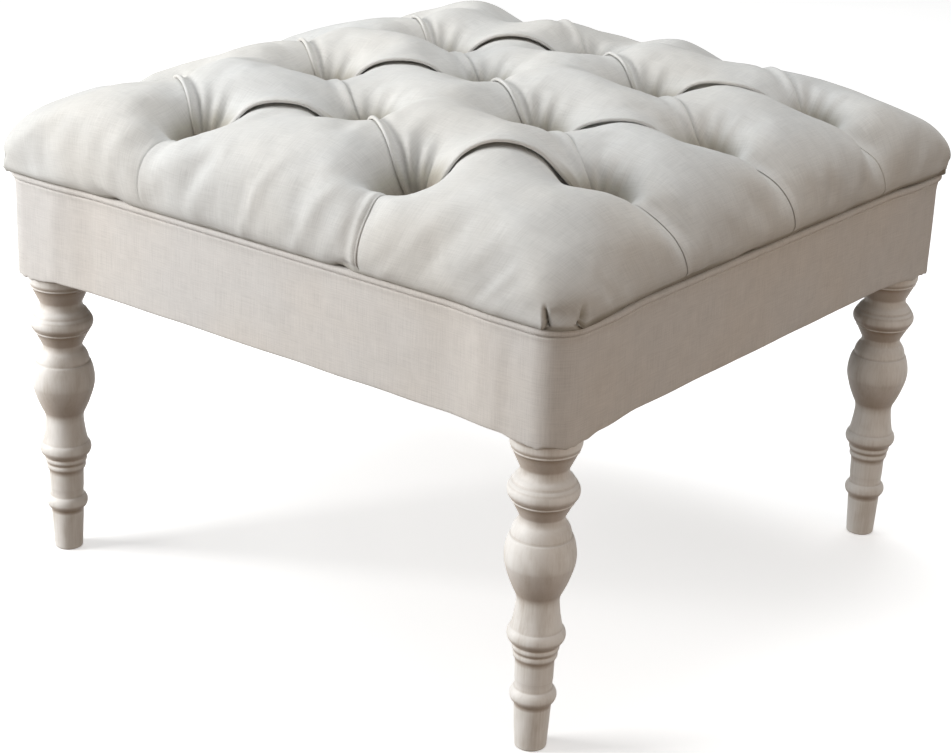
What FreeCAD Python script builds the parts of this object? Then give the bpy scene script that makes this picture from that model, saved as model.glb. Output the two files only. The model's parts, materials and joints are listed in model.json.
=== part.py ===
import FreeCAD, Part
import math
import os

V = FreeCAD.Vector

# ---------------------------------------------------------------------------
# Driving dimensions, in millimetres. +Z up, origin on the floor at the middle
# of the stool. Front is -Y, left is -X.
# ---------------------------------------------------------------------------
LEG_SPACING = 530.0          # leg axis to leg axis, both ways
BLOCK = 56.0                 # square block at the top of each leg
BLOCK_CORNER_R = 22.0        # rounding of its outer vertical corner
BLOCK_BOTTOM_Z = 263.2       # where the turning ends and the block starts
FRAME_TOP_Z = 344.0          # top of rails and blocks
RAIL_BOTTOM_Z = 269.2
RAIL_T = 22.0                # rail thickness
RAIL_OUT = 289.0             # outer face of the rails, 4 mm behind the blocks
DECK_T = 12.0                # plywood deck
SHEET_T = 1.1                # cover cloth
PIPING_R = 3.4               # outside of the welt
PIPING_CORD_R = 2.3
PIPING_Z = 355.5
STEP_IN_LEN = 50.0           # length of the gentle step from block to rail
DOWEL_R = 4.0
DOWEL_L = 58.0
BRACE_IN = 145.0             # where a brace meets the rails, from the middle
BRACE_OUT = 195.0
BRACE_Z0, BRACE_Z1 = 288.0, 333.0
FOAM_INSET = 6.0             # foam surface below the cover's surface
PIT_R_OUT = 15.0             # throat of each tuft
PIT_DEPTH = 45.0
BUTTON_R = 12.0
TWINE_R = 0.8
TWINE_HOLE_R = 2.5
TUFT_DX = 115.0              # half the diamond, left to right
TUFT_DY = 80.0               # half the diamond, front to back

HALF = LEG_SPACING / 2.0                      # 265
BLOCK_OUT = HALF + BLOCK / 2.0                # 293
BLOCK_IN = HALF - BLOCK / 2.0                 # 237
RAIL_IN = RAIL_OUT - RAIL_T                   # 267
DECK_TOP_Z = FRAME_TOP_Z + DECK_T             # 356

# The seventeen tufts: rows run left to right, alternately two and three.
TUFTS = []
for row in range(-3, 4):
    cols = (-1, 1) if row % 2 else (-2, 0, 2)
    for col in cols:
        TUFTS.append((col * TUFT_DX, row * TUFT_DY))

# Outer surface of the cushion as level outlines: (z, half width, corner radius).
CUSHION = [
    (359.1, 296.0, 27.0), (362.5, 300.6, 28.0), (367.0, 303.2, 28.0),
    (373.0, 304.6, 28.5), (380.0, 304.6, 30.0), (387.0, 303.0, 32.0),
    (394.5, 300.0, 35.0), (403.5, 295.0, 40.0), (413.5, 287.0, 48.0),
    (423.5, 276.0, 58.0), (433.0, 262.0, 70.0), (441.5, 245.0, 82.0),
    (449.5, 216.0, 92.0), (455.5, 172.0, 98.0), (459.5, 116.0, 92.0),
    (461.5, 60.0, 55.0),
]

# Right half of the turned leg, from the floor up: (kind, points as r, z).
LEG_PROFILE = [
    ("L", (11.3, 0.0)),
    ("A", (12.35, 0.45), (12.75, 1.5)),
    ("L", (14.5, 35.2)),
    ("L", (14.5, 38.6)),
    ("L", (15.2, 39.4)),
    ("A", (18.4, 45.8), (15.9, 51.6)),
    ("L", (15.0, 52.3)),
    ("A", (14.75, 54.8), (15.1, 60.0)),
    ("L", (15.4, 75.8)),
    ("L", (16.2, 78.0)),
    ("A", (17.5, 80.9), (16.9, 83.9)),
    ("L", (17.3, 84.7)),
    ("A", (18.7, 87.3), (18.2, 90.3)),
    ("L", (18.6, 91.2)),
    ("A", (22.9, 98.3), (20.9, 104.0)),
    ("L", (20.2, 104.6)),
    ("A", (18.0, 115.5), (16.8, 126.5)),
    ("A", (17.2, 131.1), (18.9, 135.4)),
    ("A", (24.4, 148.2), (27.75, 161.9)),
    ("A", (27.2, 170.6), (24.6, 179.3)),
    ("L", (24.0, 179.9)),
    ("L", (24.1, 181.0)),
    ("A", (22.6, 187.1), (19.4, 192.8)),
    ("A", (17.7, 196.6), (18.6, 200.6)),
    ("L", (19.4, 202.2)),
    ("L", (20.9, 202.6)),
    ("A", (21.6, 203.9), (21.3, 205.4)),
    ("L", (22.0, 206.3)),
    ("A", (26.4, 211.9), (27.85, 217.4)),
    ("A", (27.5, 220.6), (26.2, 223.0)),
    ("L", (25.5, 223.5)),
    ("L", (22.3, 229.4)),
    ("A", (18.8, 234.9), (19.9, 239.9)),
    ("L", (21.7, 242.7)),
    ("L", (22.4, 243.0)),
    ("A", (23.1, 244.0), (22.9, 245.2)),
    ("A", (25.2, 249.8), (27.2, 254.8)),
    ("L", (27.6, 256.2)),
    ("L", (27.6, BLOCK_BOTTOM_Z)),
    ("L", (0.0, BLOCK_BOTTOM_Z)),
]


# ---------------------------------------------------------------------------
# Shape helpers
# ---------------------------------------------------------------------------
def cyl(r, h, base, direction=V(0, 0, 1)):
    return Part.makeCylinder(r, h, base, direction)


def box(x0, y0, z0, x1, y1, z1):
    return Part.makeBox(x1 - x0, y1 - y0, z1 - z0, V(x0, y0, z0))


def cut_all(shape, tools):
    return shape.cut(tools) if tools else shape


# Line of the frame seen from above: straight along each rail, stepping out by
# 4 mm over the leg blocks, and rounded at the corners. Every covering layer is
# this line moved outwards, so the layers lie on each other without crossing.
def frame_line(o, z):
    h = BLOCK_OUT - RAIL_OUT
    theta = 2.0 * math.atan(h / STEP_IN_LEN)
    R = STEP_IN_LEN / (2.0 * math.sin(theta))
    y2 = BLOCK_IN
    y1 = y2 - STEP_IN_LEN / 2.0
    y0 = y2 - STEP_IN_LEN
    yc = BLOCK_OUT - BLOCK_CORNER_R
    c1 = (RAIL_OUT + R, y0)
    c2 = (BLOCK_OUT - R, y2)

    def on1(phi):
        p = (c1[0] - R * math.cos(phi), c1[1] + R * math.sin(phi))
        return p, (math.cos(phi), -math.sin(phi))

    def on2(phi):
        p = (c2[0] + R * math.cos(phi), c2[1] - R * math.sin(phi))
        return p, (math.cos(phi), -math.sin(phi))

    def corner(a):
        n = (math.cos(a), math.sin(a))
        return (yc + BLOCK_CORNER_R * n[0], yc + BLOCK_CORNER_R * n[1]), n

    upper = [
        ("L", ((RAIL_OUT, 0.0), (1.0, 0.0)), ((RAIL_OUT, y0), (1.0, 0.0))),
        ("A", on1(0.0), on1(theta / 2.0), on1(theta)),
        ("A", on2(theta), on2(theta / 2.0), on2(0.0)),
        ("L", ((BLOCK_OUT, y2), (1.0, 0.0)), ((BLOCK_OUT, yc), (1.0, 0.0))),
        ("A", corner(0.0), corner(math.pi / 4.0), corner(math.pi / 2.0)),
    ]

    def flip(pn):
        (p, n) = pn
        return ((p[0], -p[1]), (n[0], -n[1]))

    lower = []
    for seg in upper[:4]:
        lower.insert(0, (seg[0],) + tuple(flip(q) for q in reversed(seg[1:])))
    side = lower + upper
    edges = []
    for k in range(4):
        ca, sa = math.cos(k * math.pi / 2), math.sin(k * math.pi / 2)

        def put(pn):
            (p, n) = pn
            x, y = p[0] + o * n[0], p[1] + o * n[1]
            return V(x * ca - y * sa, x * sa + y * ca, z)

        for seg in side:
            pts = [put(q) for q in seg[1:]]
            if seg[0] == "L":
                edges.append(Part.LineSegment(pts[0], pts[1]).toShape())
            else:
                edges.append(Part.Arc(pts[0], pts[1], pts[2]).toShape())
    return edges


def frame_prism(o, z0, z1):
    wire = Part.Wire(frame_line(o, z0))
    return Part.Face(wire).extrude(V(0, 0, z1 - z0))


def frame_band(o_in, o_out, z0, z1):
    return frame_prism(o_out, z0, z1).cut(frame_prism(o_in, z0 - 1, z1 + 1))


def rounded_square(half, r, z):
    a = half - r
    q = r * math.sqrt(0.5)
    e = []
    for k in range(4):
        ca, sa = math.cos(k * math.pi / 2), math.sin(k * math.pi / 2)

        def put(x, y):
            return V(x * ca - y * sa, x * sa + y * ca, z)

        e.append(Part.LineSegment(put(half, -a), put(half, a)).toShape())
        e.append(Part.Arc(put(half, a), put(a + q, a + q), put(a, half)).toShape())
    return Part.Wire(e)


def inset_sections(d):
    """The cushion's level outlines moved inwards along its surface by d."""
    out = []
    n = len(CUSHION)
    for i, (z, h, r) in enumerate(CUSHION):
        z0, h0, _ = CUSHION[max(i - 1, 0)]
        z1, h1, _ = CUSHION[min(i + 1, n - 1)]
        tz, th = z1 - z0, h1 - h0
        length = math.hypot(tz, th)
        nz, nh = -th / length, tz / length
        if i == n - 1:
            nz, nh = 1.0, 0.0
        out.append((z - d * nz, h - d * nh, max(r - d * nh * 0.6, 8.0)))
    return out


def cushion_solid(d, z_bottom):
    """Closed cushion whose surface is d inside the cover's, cut level below."""
    secs = inset_sections(d) if d else list(CUSHION)
    keep = []
    for (z, h, r) in secs:
        if z < z_bottom + 1.0:
            continue
        if keep and z < keep[-1][0] + 0.8:
            continue
        keep.append((z, h, r))
    first = keep[0]
    keep.insert(0, (z_bottom, first[1] - 2.5, first[2]))
    wires = [rounded_square(h, r, z) for (z, h, r) in keep]
    return Part.makeLoft(wires, True, True)


def surface_z(x, y):
    """Height of the cushion's surface over a point."""
    m = max(abs(x), abs(y))
    for i in range(len(CUSHION) - 1, 3, -1):
        z1, h1, _ = CUSHION[i]
        z0, h0, _ = CUSHION[i - 1]
        if m <= h1:
            return z1
        if m <= h0:
            return z1 + (z0 - z1) * (m - h1) / (h0 - h1)
    return CUSHION[4][0]


def pit_floor(x, y):
    return surface_z(x, y) - PIT_DEPTH


NODES = {}


# ---------------------------------------------------------------------------
# Legs: one turning with its square block, drilled for the rails' dowels
# ---------------------------------------------------------------------------
def leg_solid():
    last = V(0, 0, 0)
    edges = []
    for seg in LEG_PROFILE:
        pts = [V(p[0], 0, p[1]) for p in seg[1:]]
        if seg[0] == "L":
            edges.append(Part.LineSegment(last, pts[0]).toShape())
        else:
            edges.append(Part.Arc(last, pts[0], pts[1]).toShape())
        last = pts[-1]
    edges.append(Part.LineSegment(last, V(0, 0, 0)).toShape())
    turned = Part.Face(Part.Wire(edges)).revolve(V(0, 0, 0), V(0, 0, 1), 360)
    # block, its outer corner (towards +X +Y) rounded, the other corners eased
    b = BLOCK / 2.0
    R = BLOCK_CORNER_R
    e = 2.0
    q = (1.0 - math.sqrt(0.5)) * R
    pts = [V(-b + e, -b, 0), V(b - e, -b, 0), V(b, -b + e, 0), V(b, b - R, 0)]
    after = [V(b - R, b, 0), V(-b + e, b, 0), V(-b, b - e, 0), V(-b, -b + e, 0)]
    wire = [Part.LineSegment(pts[i], pts[i + 1]).toShape() for i in range(3)]
    wire.append(Part.Arc(pts[3], V(b - q, b - q, 0), after[0]).toShape())
    wire += [Part.LineSegment(after[i], after[i + 1]).toShape() for i in range(3)]
    wire.append(Part.LineSegment(after[3], pts[0]).toShape())
    face = Part.Face(Part.Wire(wire))
    face.translate(V(0, 0, BLOCK_BOTTOM_Z))
    block = face.extrude(V(0, 0, FRAME_TOP_Z - BLOCK_BOTTOM_Z))
    return turned.fuse(block)


DOWEL_ZS = (289.0, 323.0)
DOWEL_C = (RAIL_IN + RAIL_OUT) / 2.0          # 278, middle of a rail
DOWEL_HOLE_R = DOWEL_R + 0.05


def dowels(radius, extra):
    """The eight dowel places at the ends of the two rails that run along X."""
    out = []
    for sx in (-1, 1):
        for sy in (-1, 1):
            for z in DOWEL_ZS:
                mid = BLOCK_IN
                a = mid - DOWEL_L / 2.0 - extra
                base = V(sx * a, sy * DOWEL_C, z)
                out.append(cyl(radius, DOWEL_L + 2 * extra, base, V(sx, 0, 0)))
    return out


dowel_holes_x = dowels(DOWEL_HOLE_R, 1.0)
dowel_holes_y = []
for s in dowel_holes_x:
    t = s.copy()
    t.rotate(V(0, 0, 0), V(0, 0, 1), 90.0)
    dowel_holes_y.append(t)
dowel_holes = dowel_holes_x + dowel_holes_y

dowel_list = []
for s in dowels(DOWEL_R, -0.4):
    dowel_list.append(s)
    t = s.copy()
    t.rotate(V(0, 0, 0), V(0, 0, 1), 90.0)
    dowel_list.append(t)
NODES["rail_dowels"] = Part.makeCompound(dowel_list)

leg = leg_solid()
for name, turn, sx, sy in (
    ("leg_rear_right", 0, 1, 1),
    ("leg_rear_left", 90, -1, 1),
    ("leg_front_left", 180, -1, -1),
    ("leg_front_right", 270, 1, -1),
):
    s = leg.copy()
    s.rotate(V(0, 0, 0), V(0, 0, 1), turn)
    s.translate(V(sx * HALF, sy * HALF, 0))
    near = [d for d in dowel_holes
            if d.BoundBox.Center.x * sx > 0 and d.BoundBox.Center.y * sy > 0]
    NODES[name] = cut_all(s, near)

# ---------------------------------------------------------------------------
# Rails, corner braces and their screws
# ---------------------------------------------------------------------------
SCREW_R = 2.0
SCREW_HEAD_R = 4.0


def wood_screw(length, head_at, direction, radius=SCREW_R, head_r=SCREW_HEAD_R):
    """Countersunk screw, its head's face at head_at, running along direction."""
    head_h = head_r - radius
    tip = 3.0
    pr = [V(0, 0, 0), V(head_r, 0, 0), V(head_r, 0, 0.4),
          V(radius, 0, 0.4 + head_h), V(radius, 0, length - tip),
          V(0, 0, length), V(0, 0, 0)]
    body = Part.Face(Part.makePolygon(pr)).revolve(V(0, 0, 0), V(0, 0, 1), 360)
    slot = box(-0.5, -2.6, -1.0, 0.5, 2.6, 1.2).fuse(box(-2.6, -0.5, -1.0, 2.6, 0.5, 1.2))
    body = body.cut(slot)
    rot = FreeCAD.Rotation(V(0, 0, 1), direction)
    body.Placement = FreeCAD.Placement(head_at, rot)
    return body


def screw_hole(length, head_at, direction, radius=SCREW_R + 0.05, head_r=SCREW_HEAD_R + 0.05):
    head_h = head_r - radius
    pr = [V(0, 0, -30), V(head_r, 0, -30), V(head_r, 0, 0.45),
          V(radius, 0, 0.45 + head_h), V(radius, 0, length + 0.5),
          V(0, 0, length + 0.5), V(0, 0, -30)]
    body = Part.Face(Part.makePolygon(pr)).revolve(V(0, 0, 0), V(0, 0, 1), 360)
    rot = FreeCAD.Rotation(V(0, 0, 1), direction)
    body.Placement = FreeCAD.Placement(head_at, rot)
    return body


BRACE_SCREW_L = 42.0
BRACE_SCREW_ZS = (300.0, 321.0)
brace_mid = (BRACE_IN + BRACE_OUT) / 2.0      # 170
# the head sits in a counterbore 6 mm behind the slanting inner face
head_x = RAIL_IN + BRACE_IN - brace_mid + 7.0
brace_screws = []
brace_holes = []
for z in BRACE_SCREW_ZS:
    for (p, d) in ((V(head_x, brace_mid, z), V(1, 0, 0)),
                   (V(brace_mid, head_x, z), V(0, 1, 0))):
        brace_screws.append(wood_screw(BRACE_SCREW_L, p, d))
        brace_holes.append(screw_hole(BRACE_SCREW_L, p, d))

poly = [V(RAIL_IN, BRACE_IN, BRACE_Z0), V(RAIL_IN, BRACE_OUT, BRACE_Z0),
        V(BRACE_OUT, RAIL_IN, BRACE_Z0), V(BRACE_IN, RAIL_IN, BRACE_Z0),
        V(RAIL_IN, BRACE_IN, BRACE_Z0)]
brace = Part.Face(Part.makePolygon(poly)).extrude(V(0, 0, BRACE_Z1 - BRACE_Z0))
brace = cut_all(brace, brace_holes)
all_brace_screws = []
all_brace_holes = []
for k, name in enumerate(("corner_brace_rear_right", "corner_brace_rear_left",
                          "corner_brace_front_left", "corner_brace_front_right")):
    s = brace.copy()
    s.rotate(V(0, 0, 0), V(0, 0, 1), 90.0 * k)
    NODES[name] = s
    for t in brace_screws:
        t = t.copy()
        t.rotate(V(0, 0, 0), V(0, 0, 1), 90.0 * k)
        all_brace_screws.append(t)
    for t in brace_holes:
        t = t.copy()
        t.rotate(V(0, 0, 0), V(0, 0, 1), 90.0 * k)
        all_brace_holes.append(t)
NODES["brace_screws"] = Part.makeCompound(all_brace_screws)

DECK_SCREW_L = 38.0
deck_screws = []
deck_screw_holes = []
for k in range(4):
    for t in (-125.0, 0.0, 125.0):
        p = V(DOWEL_C, t, DECK_TOP_Z - 0.3)
        for maker, keep in ((wood_screw, deck_screws), (screw_hole, deck_screw_holes)):
            s = maker(DECK_SCREW_L, p, V(0, 0, -1))
            s.rotate(V(0, 0, 0), V(0, 0, 1), 90.0 * k)
            keep.append(s)
NODES["deck_screws"] = Part.makeCompound(deck_screws)

# the staples go in after every layer they hold is known
cover_staples = []
underside_staples = []
twine_staples = []


def staple(crown, leg_len, wire, at, across, into):
    """Flat-wire staple: crown along `across` centred at `at`, legs along `into`."""
    x = V(*across)
    z = V(*into)
    y = z.cross(x)
    hw = crown / 2.0

    def bar(x0, x1, z0, z1):
        b = box(x0, -wire / 2.0, z0, x1, wire / 2.0, z1)
        return b

    s = bar(-hw, hw, 0, wire).fuse([bar(-hw, -hw + wire, 0, leg_len),
                                    bar(hw - wire, hw, 0, leg_len)])
    s = s.removeSplitter()
    m = FreeCAD.Matrix(x.x, y.x, z.x, at[0], x.y, y.y, z.y, at[1],
                       x.z, y.z, z.z, at[2], 0, 0, 0, 1)
    return s.transformed(m)


# stack of layers outside the frame line
SKIRT_O0, SKIRT_O1 = 0.05, 0.05 + SHEET_T            # lower edge of the top cover
FLANGE_O0, FLANGE_O1 = SKIRT_O1 + 0.05, SKIRT_O1 + 0.05 + 1.3
TACK_O0, TACK_O1 = FLANGE_O1 + 0.05, FLANGE_O1 + 0.05 + 0.9
BAND_O0, BAND_O1 = TACK_O1 + 0.05, TACK_O1 + 0.05 + 1.2
BAND_TOP_Z = PIPING_Z - PIPING_R - 0.1
SKIRT_BOTTOM_Z = 327.0

STAPLE_T = 0.5
for k in range(4):
    for i in range(-4, 5):
        t = i * 42.0
        s = staple(10.0, 8.0, STAPLE_T, (RAIL_OUT + SKIRT_O1 + STAPLE_T, t, 331.0),
                   (0, 1, 0), (-1, 0, 0))
        s.rotate(V(0, 0, 0), V(0, 0, 1), 90.0 * k)
        cover_staples.append(s)

# ---------------------------------------------------------------------------
# Deck board
# ---------------------------------------------------------------------------
twine_holes = [cyl(TWINE_HOLE_R, DECK_T + 4, V(x, y, FRAME_TOP_Z - 2)) for (x, y) in TUFTS]
TAIL = 16.0
twines = []
for (x, y) in TUFTS:
    # each twine comes down through its hole and lies under the deck, towards
    # the middle, to its two staples
    d = V(-x, -y, 0)
    if d.Length < 1.0:
        d = V(1, 0, 0)
    d.normalize()
    zt = FRAME_TOP_Z - TWINE_R - 0.1
    top = pit_floor(x, y) - 0.05
    vert = cyl(TWINE_R, top - zt, V(x, y, zt))
    elbow = Part.makeSphere(TWINE_R, V(x, y, zt))
    tail = cyl(TWINE_R, TAIL, V(x, y, zt), d)
    twines.append(vert.fuse([elbow, tail]))
    side = V(-d.y, d.x, 0)
    for u in (7.0, 12.0):
        c = V(x, y, 0) + d * u
        twine_staples.append(
            staple(9.0, 8.0, STAPLE_T, (c.x, c.y, FRAME_TOP_Z - 2 * TWINE_R - 0.2 - STAPLE_T),
                   (side.x, side.y, 0), (0, 0, 1)))
NODES["button_twines"] = Part.makeCompound(twines)
NODES["twine_staples"] = Part.makeCompound(twine_staples)

deck = frame_prism(-0.4, FRAME_TOP_Z, DECK_TOP_Z)
deck = cut_all(deck, twine_holes)
deck = cut_all(deck, deck_screw_holes)
deck = cut_all(deck, twine_staples)
NODES["deck_board"] = deck

# ---------------------------------------------------------------------------
# Underside: dust cover, and staples through it into the rails
# ---------------------------------------------------------------------------
BAND_BOTTOM_Z = RAIL_BOTTOM_Z - 0.1 - SHEET_T          # cloth under the rails
RETURN_IN = 274.0                                      # inner edge of that return
DUST_T = 0.5
dust_z1 = BAND_BOTTOM_Z - 0.05
dust_z0 = dust_z1 - DUST_T
dust_half = 286.0
for k in range(4):
    for i in range(-3, 4):
        t = i * 62.0
        s = staple(10.0, 8.0, STAPLE_T, (278.0, t, dust_z0 - STAPLE_T), (0, 1, 0), (0, 0, 1))
        s.rotate(V(0, 0, 0), V(0, 0, 1), 90.0 * k)
        underside_staples.append(s)

dust = box(-dust_half, -dust_half, dust_z0, dust_half, dust_half, dust_z1)
corner_clear = []
c = BLOCK_IN - 1.0
for sx in (-1, 1):
    for sy in (-1, 1):
        corner_clear.append(box(min(sx * c, sx * 320), min(sy * c, sy * 320), dust_z0 - 2,
                                max(sx * c, sx * 320), max(sy * c, sy * 320), dust_z1 + 2))
dust = cut_all(dust, corner_clear)
dust = cut_all(dust, underside_staples)
NODES["dust_cover"] = dust

rail = box(RAIL_IN, -BLOCK_IN, RAIL_BOTTOM_Z, RAIL_OUT, BLOCK_IN, FRAME_TOP_Z)
for k, name in enumerate(("rail_right", "rail_rear", "rail_left", "rail_front")):
    s = rail.copy()
    s.rotate(V(0, 0, 0), V(0, 0, 1), 90.0 * k)
    tools = [t for t in dowel_holes + all_brace_holes + deck_screw_holes
             + cover_staples + underside_staples
             if t.BoundBox.intersect(s.BoundBox)]
    NODES[name] = cut_all(s, tools)
NODES["cover_staples"] = Part.makeCompound(cover_staples)
NODES["underside_staples"] = Part.makeCompound(underside_staples)

# ---------------------------------------------------------------------------
# Cushion: foam, wadding, cover with its seventeen funnels, buttons
# ---------------------------------------------------------------------------
CUSHION_BOTTOM_Z = PIPING_Z + PIPING_R + 0.1          # rests on the welt: 359.0
outer = cushion_solid(0.0, CUSHION_BOTTOM_Z)
inner = cushion_solid(SHEET_T, CUSHION_BOTTOM_Z + SHEET_T)
pits_outer = []
pits_inner = []
throats = []
for (x, y) in TUFTS:
    zf = pit_floor(x, y)
    top = CUSHION[-1][0] + 6.0
    pits_outer.append(cyl(PIT_R_OUT, top - zf, V(x, y, zf)))
    pits_inner.append(cyl(PIT_R_OUT - SHEET_T, top - zf, V(x, y, zf + SHEET_T)))
    throats.append(cyl(TWINE_R + 0.3, 3 * SHEET_T, V(x, y, zf - SHEET_T)))
shell = outer.cut(inner)
cups = [p.common(outer) for p in pits_outer]
shell = shell.fuse(cups)
shell = cut_all(shell, pits_inner + throats)
shell = shell.cut(frame_prism(SKIRT_O0, CUSHION_BOTTOM_Z - 2, CUSHION_BOTTOM_Z + SHEET_T + 0.001))
skirt = frame_band(SKIRT_O0, SKIRT_O1, SKIRT_BOTTOM_Z, CUSHION_BOTTOM_Z + SHEET_T * 0.5)
cover = shell.fuse(skirt)
cover = cut_all(cover, cover_staples)
NODES["top_cover"] = cover

pit_clear = []
for (x, y) in TUFTS:
    pit_clear.append(cyl(PIT_R_OUT + 0.1, 200.0, V(x, y, DECK_TOP_Z - 20)))
wad_z = DECK_TOP_Z + 0.1
wad = cushion_solid(SHEET_T + 0.2, CUSHION_BOTTOM_Z + SHEET_T + 0.2)
wad = wad.fuse(frame_prism(-0.4, wad_z, CUSHION_BOTTOM_Z + SHEET_T + 1.0))
foam = cushion_solid(FOAM_INSET, wad_z)
wad = wad.cut(foam)
wad = cut_all(wad, pit_clear)
NODES["wadding_layer"] = wad
NODES["foam_cushion"] = cut_all(cushion_solid(FOAM_INSET + 0.05, wad_z), pit_clear)


def button_at(x, y):
    zf = pit_floor(x, y) + SHEET_T + 0.05
    r = BUTTON_R
    prof = [(0, 0), (r - 1.5, 0), (r - 0.4, 0.5), (r, 1.5), (r - 0.2, 2.4), (r - 1.2, 3.4),
            (r - 3.0, 4.5), (r - 5.5, 5.5), (r - 8.5, 6.2), (r - 10.5, 6.5), (0, 6.5), (0, 0)]
    e = Part.makePolygon([V(q[0], 0, q[1]) for q in prof])
    s = Part.Face(e).revolve(V(0, 0, 0), V(0, 0, 1), 360)
    s.translate(V(x, y, zf))
    return s


NODES["tuft_buttons"] = Part.makeCompound([button_at(x, y) for (x, y) in TUFTS])

# ---------------------------------------------------------------------------
# Welt, tack strip, padding and band
# ---------------------------------------------------------------------------
WELT_O = SKIRT_O1 + 0.1 + PIPING_R


def welt(radius, inner=None):
    """Tube along the frame line, open by a hair at the middle of the back."""
    edges = frame_line(WELT_O, PIPING_Z)
    n = len(edges) // 4
    # segment order starts at the right side's lower corner; put the start at
    # the middle of the rear side, where the two ends of the welt meet
    mid = n + 4
    order = edges[mid:] + edges[:mid]
    a = order[0].Vertexes[0].Point
    first = Part.LineSegment(a + V(-0.15, 0, 0), order[0].Vertexes[-1].Point).toShape()
    order[0] = first
    path = Part.Wire(order)
    start = first.Vertexes[0].Point
    circ = Part.Wire([Part.Circle(start, V(1, 0, 0), radius).toShape()])
    s = path.makePipeShell([circ], True, False)
    return s


core = welt(PIPING_CORD_R)
tube = welt(PIPING_R).cut(welt(PIPING_CORD_R + 0.02))
flange = frame_band(FLANGE_O0, FLANGE_O1, 340.0, PIPING_Z)
flange = flange.cut(welt(PIPING_CORD_R + 0.3))
tube = tube.fuse(flange)
NODES["piping_cord"] = core
NODES["piping_cover"] = tube

NODES["tack_strip"] = frame_band(TACK_O0, TACK_O1, 334.0, 347.5)
pad = frame_band(0.1, BAND_O0 - 0.1, RAIL_BOTTOM_Z + 0.1, SKIRT_BOTTOM_Z - 1.0)
NODES["apron_padding"] = pad

CORNER_BOTTOM_Z = BLOCK_BOTTOM_Z - 0.1 - SHEET_T
edge = BLOCK_IN + 1.0
band = frame_band(BAND_O0, BAND_O1, CORNER_BOTTOM_Z, BAND_TOP_Z)
# between the blocks the band ends at the rail line and turns in underneath
between = [box(-edge, -330.0, CORNER_BOTTOM_Z - 5, edge, 330.0, BAND_BOTTOM_Z),
           box(-330.0, -edge, CORNER_BOTTOM_Z - 5, 330.0, edge, BAND_BOTTOM_Z)]
band = cut_all(band, between)
lip = BAND_O0 + 0.4
under = frame_prism(lip, BAND_BOTTOM_Z, BAND_BOTTOM_Z + SHEET_T)
under = under.cut(box(-RETURN_IN, -RETURN_IN, BAND_BOTTOM_Z - 1, RETURN_IN, RETURN_IN, BAND_BOTTOM_Z + SHEET_T + 1))
corner_zone = []
for sx in (-1, 1):
    for sy in (-1, 1):
        corner_zone.append(box(min(sx * edge, sx * 330), min(sy * edge, sy * 330), CORNER_BOTTOM_Z - 3,
                               max(sx * edge, sx * 330), max(sy * edge, sy * 330), BAND_BOTTOM_Z + 8))
under = cut_all(under, corner_zone)
# at the blocks it drops below the rail line and tucks in around the turning
tuck = frame_prism(lip, CORNER_BOTTOM_Z, CORNER_BOTTOM_Z + SHEET_T)
tuck = tuck.common(Part.makeCompound(corner_zone))
collars = [cyl(27.75, 30, V(sx * HALF, sy * HALF, CORNER_BOTTOM_Z - 10)) for sx in (-1, 1) for sy in (-1, 1)]
tuck = cut_all(tuck, collars)
band = band.fuse(under.Solids + tuck.Solids)
band = max(band.Solids, key=lambda q: q.Volume)
band = cut_all(band, underside_staples)
NODES["apron_cover"] = band


# ---------------------------------------------------------------------------
# One file per node
# ---------------------------------------------------------------------------
os.makedirs("parts", exist_ok=True)
for name, shape in NODES.items():
    solids = [s for s in shape.Solids if s.Volume > 0.5]
    solids = [s if s.Volume > 0 else s.reversed() for s in solids]
    out = solids[0] if len(solids) == 1 else Part.makeCompound(solids)
    bad = [i for i, s in enumerate(solids) if not s.isValid()]
    bb = out.BoundBox
    print("%-24s solids %3d volume %10.1f cm3 valid %s  z %.1f..%.1f x %.1f..%.1f" % (
        name, len(solids), sum(s.Volume for s in solids) / 1000.0, not bad,
        bb.ZMin, bb.ZMax, bb.XMin, bb.XMax))
    out.exportStep("parts/%s.step" % name)
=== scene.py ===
import bpy
import bmesh
import json
import math
import numpy as np
from mathutils import Vector, Matrix, noise

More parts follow.
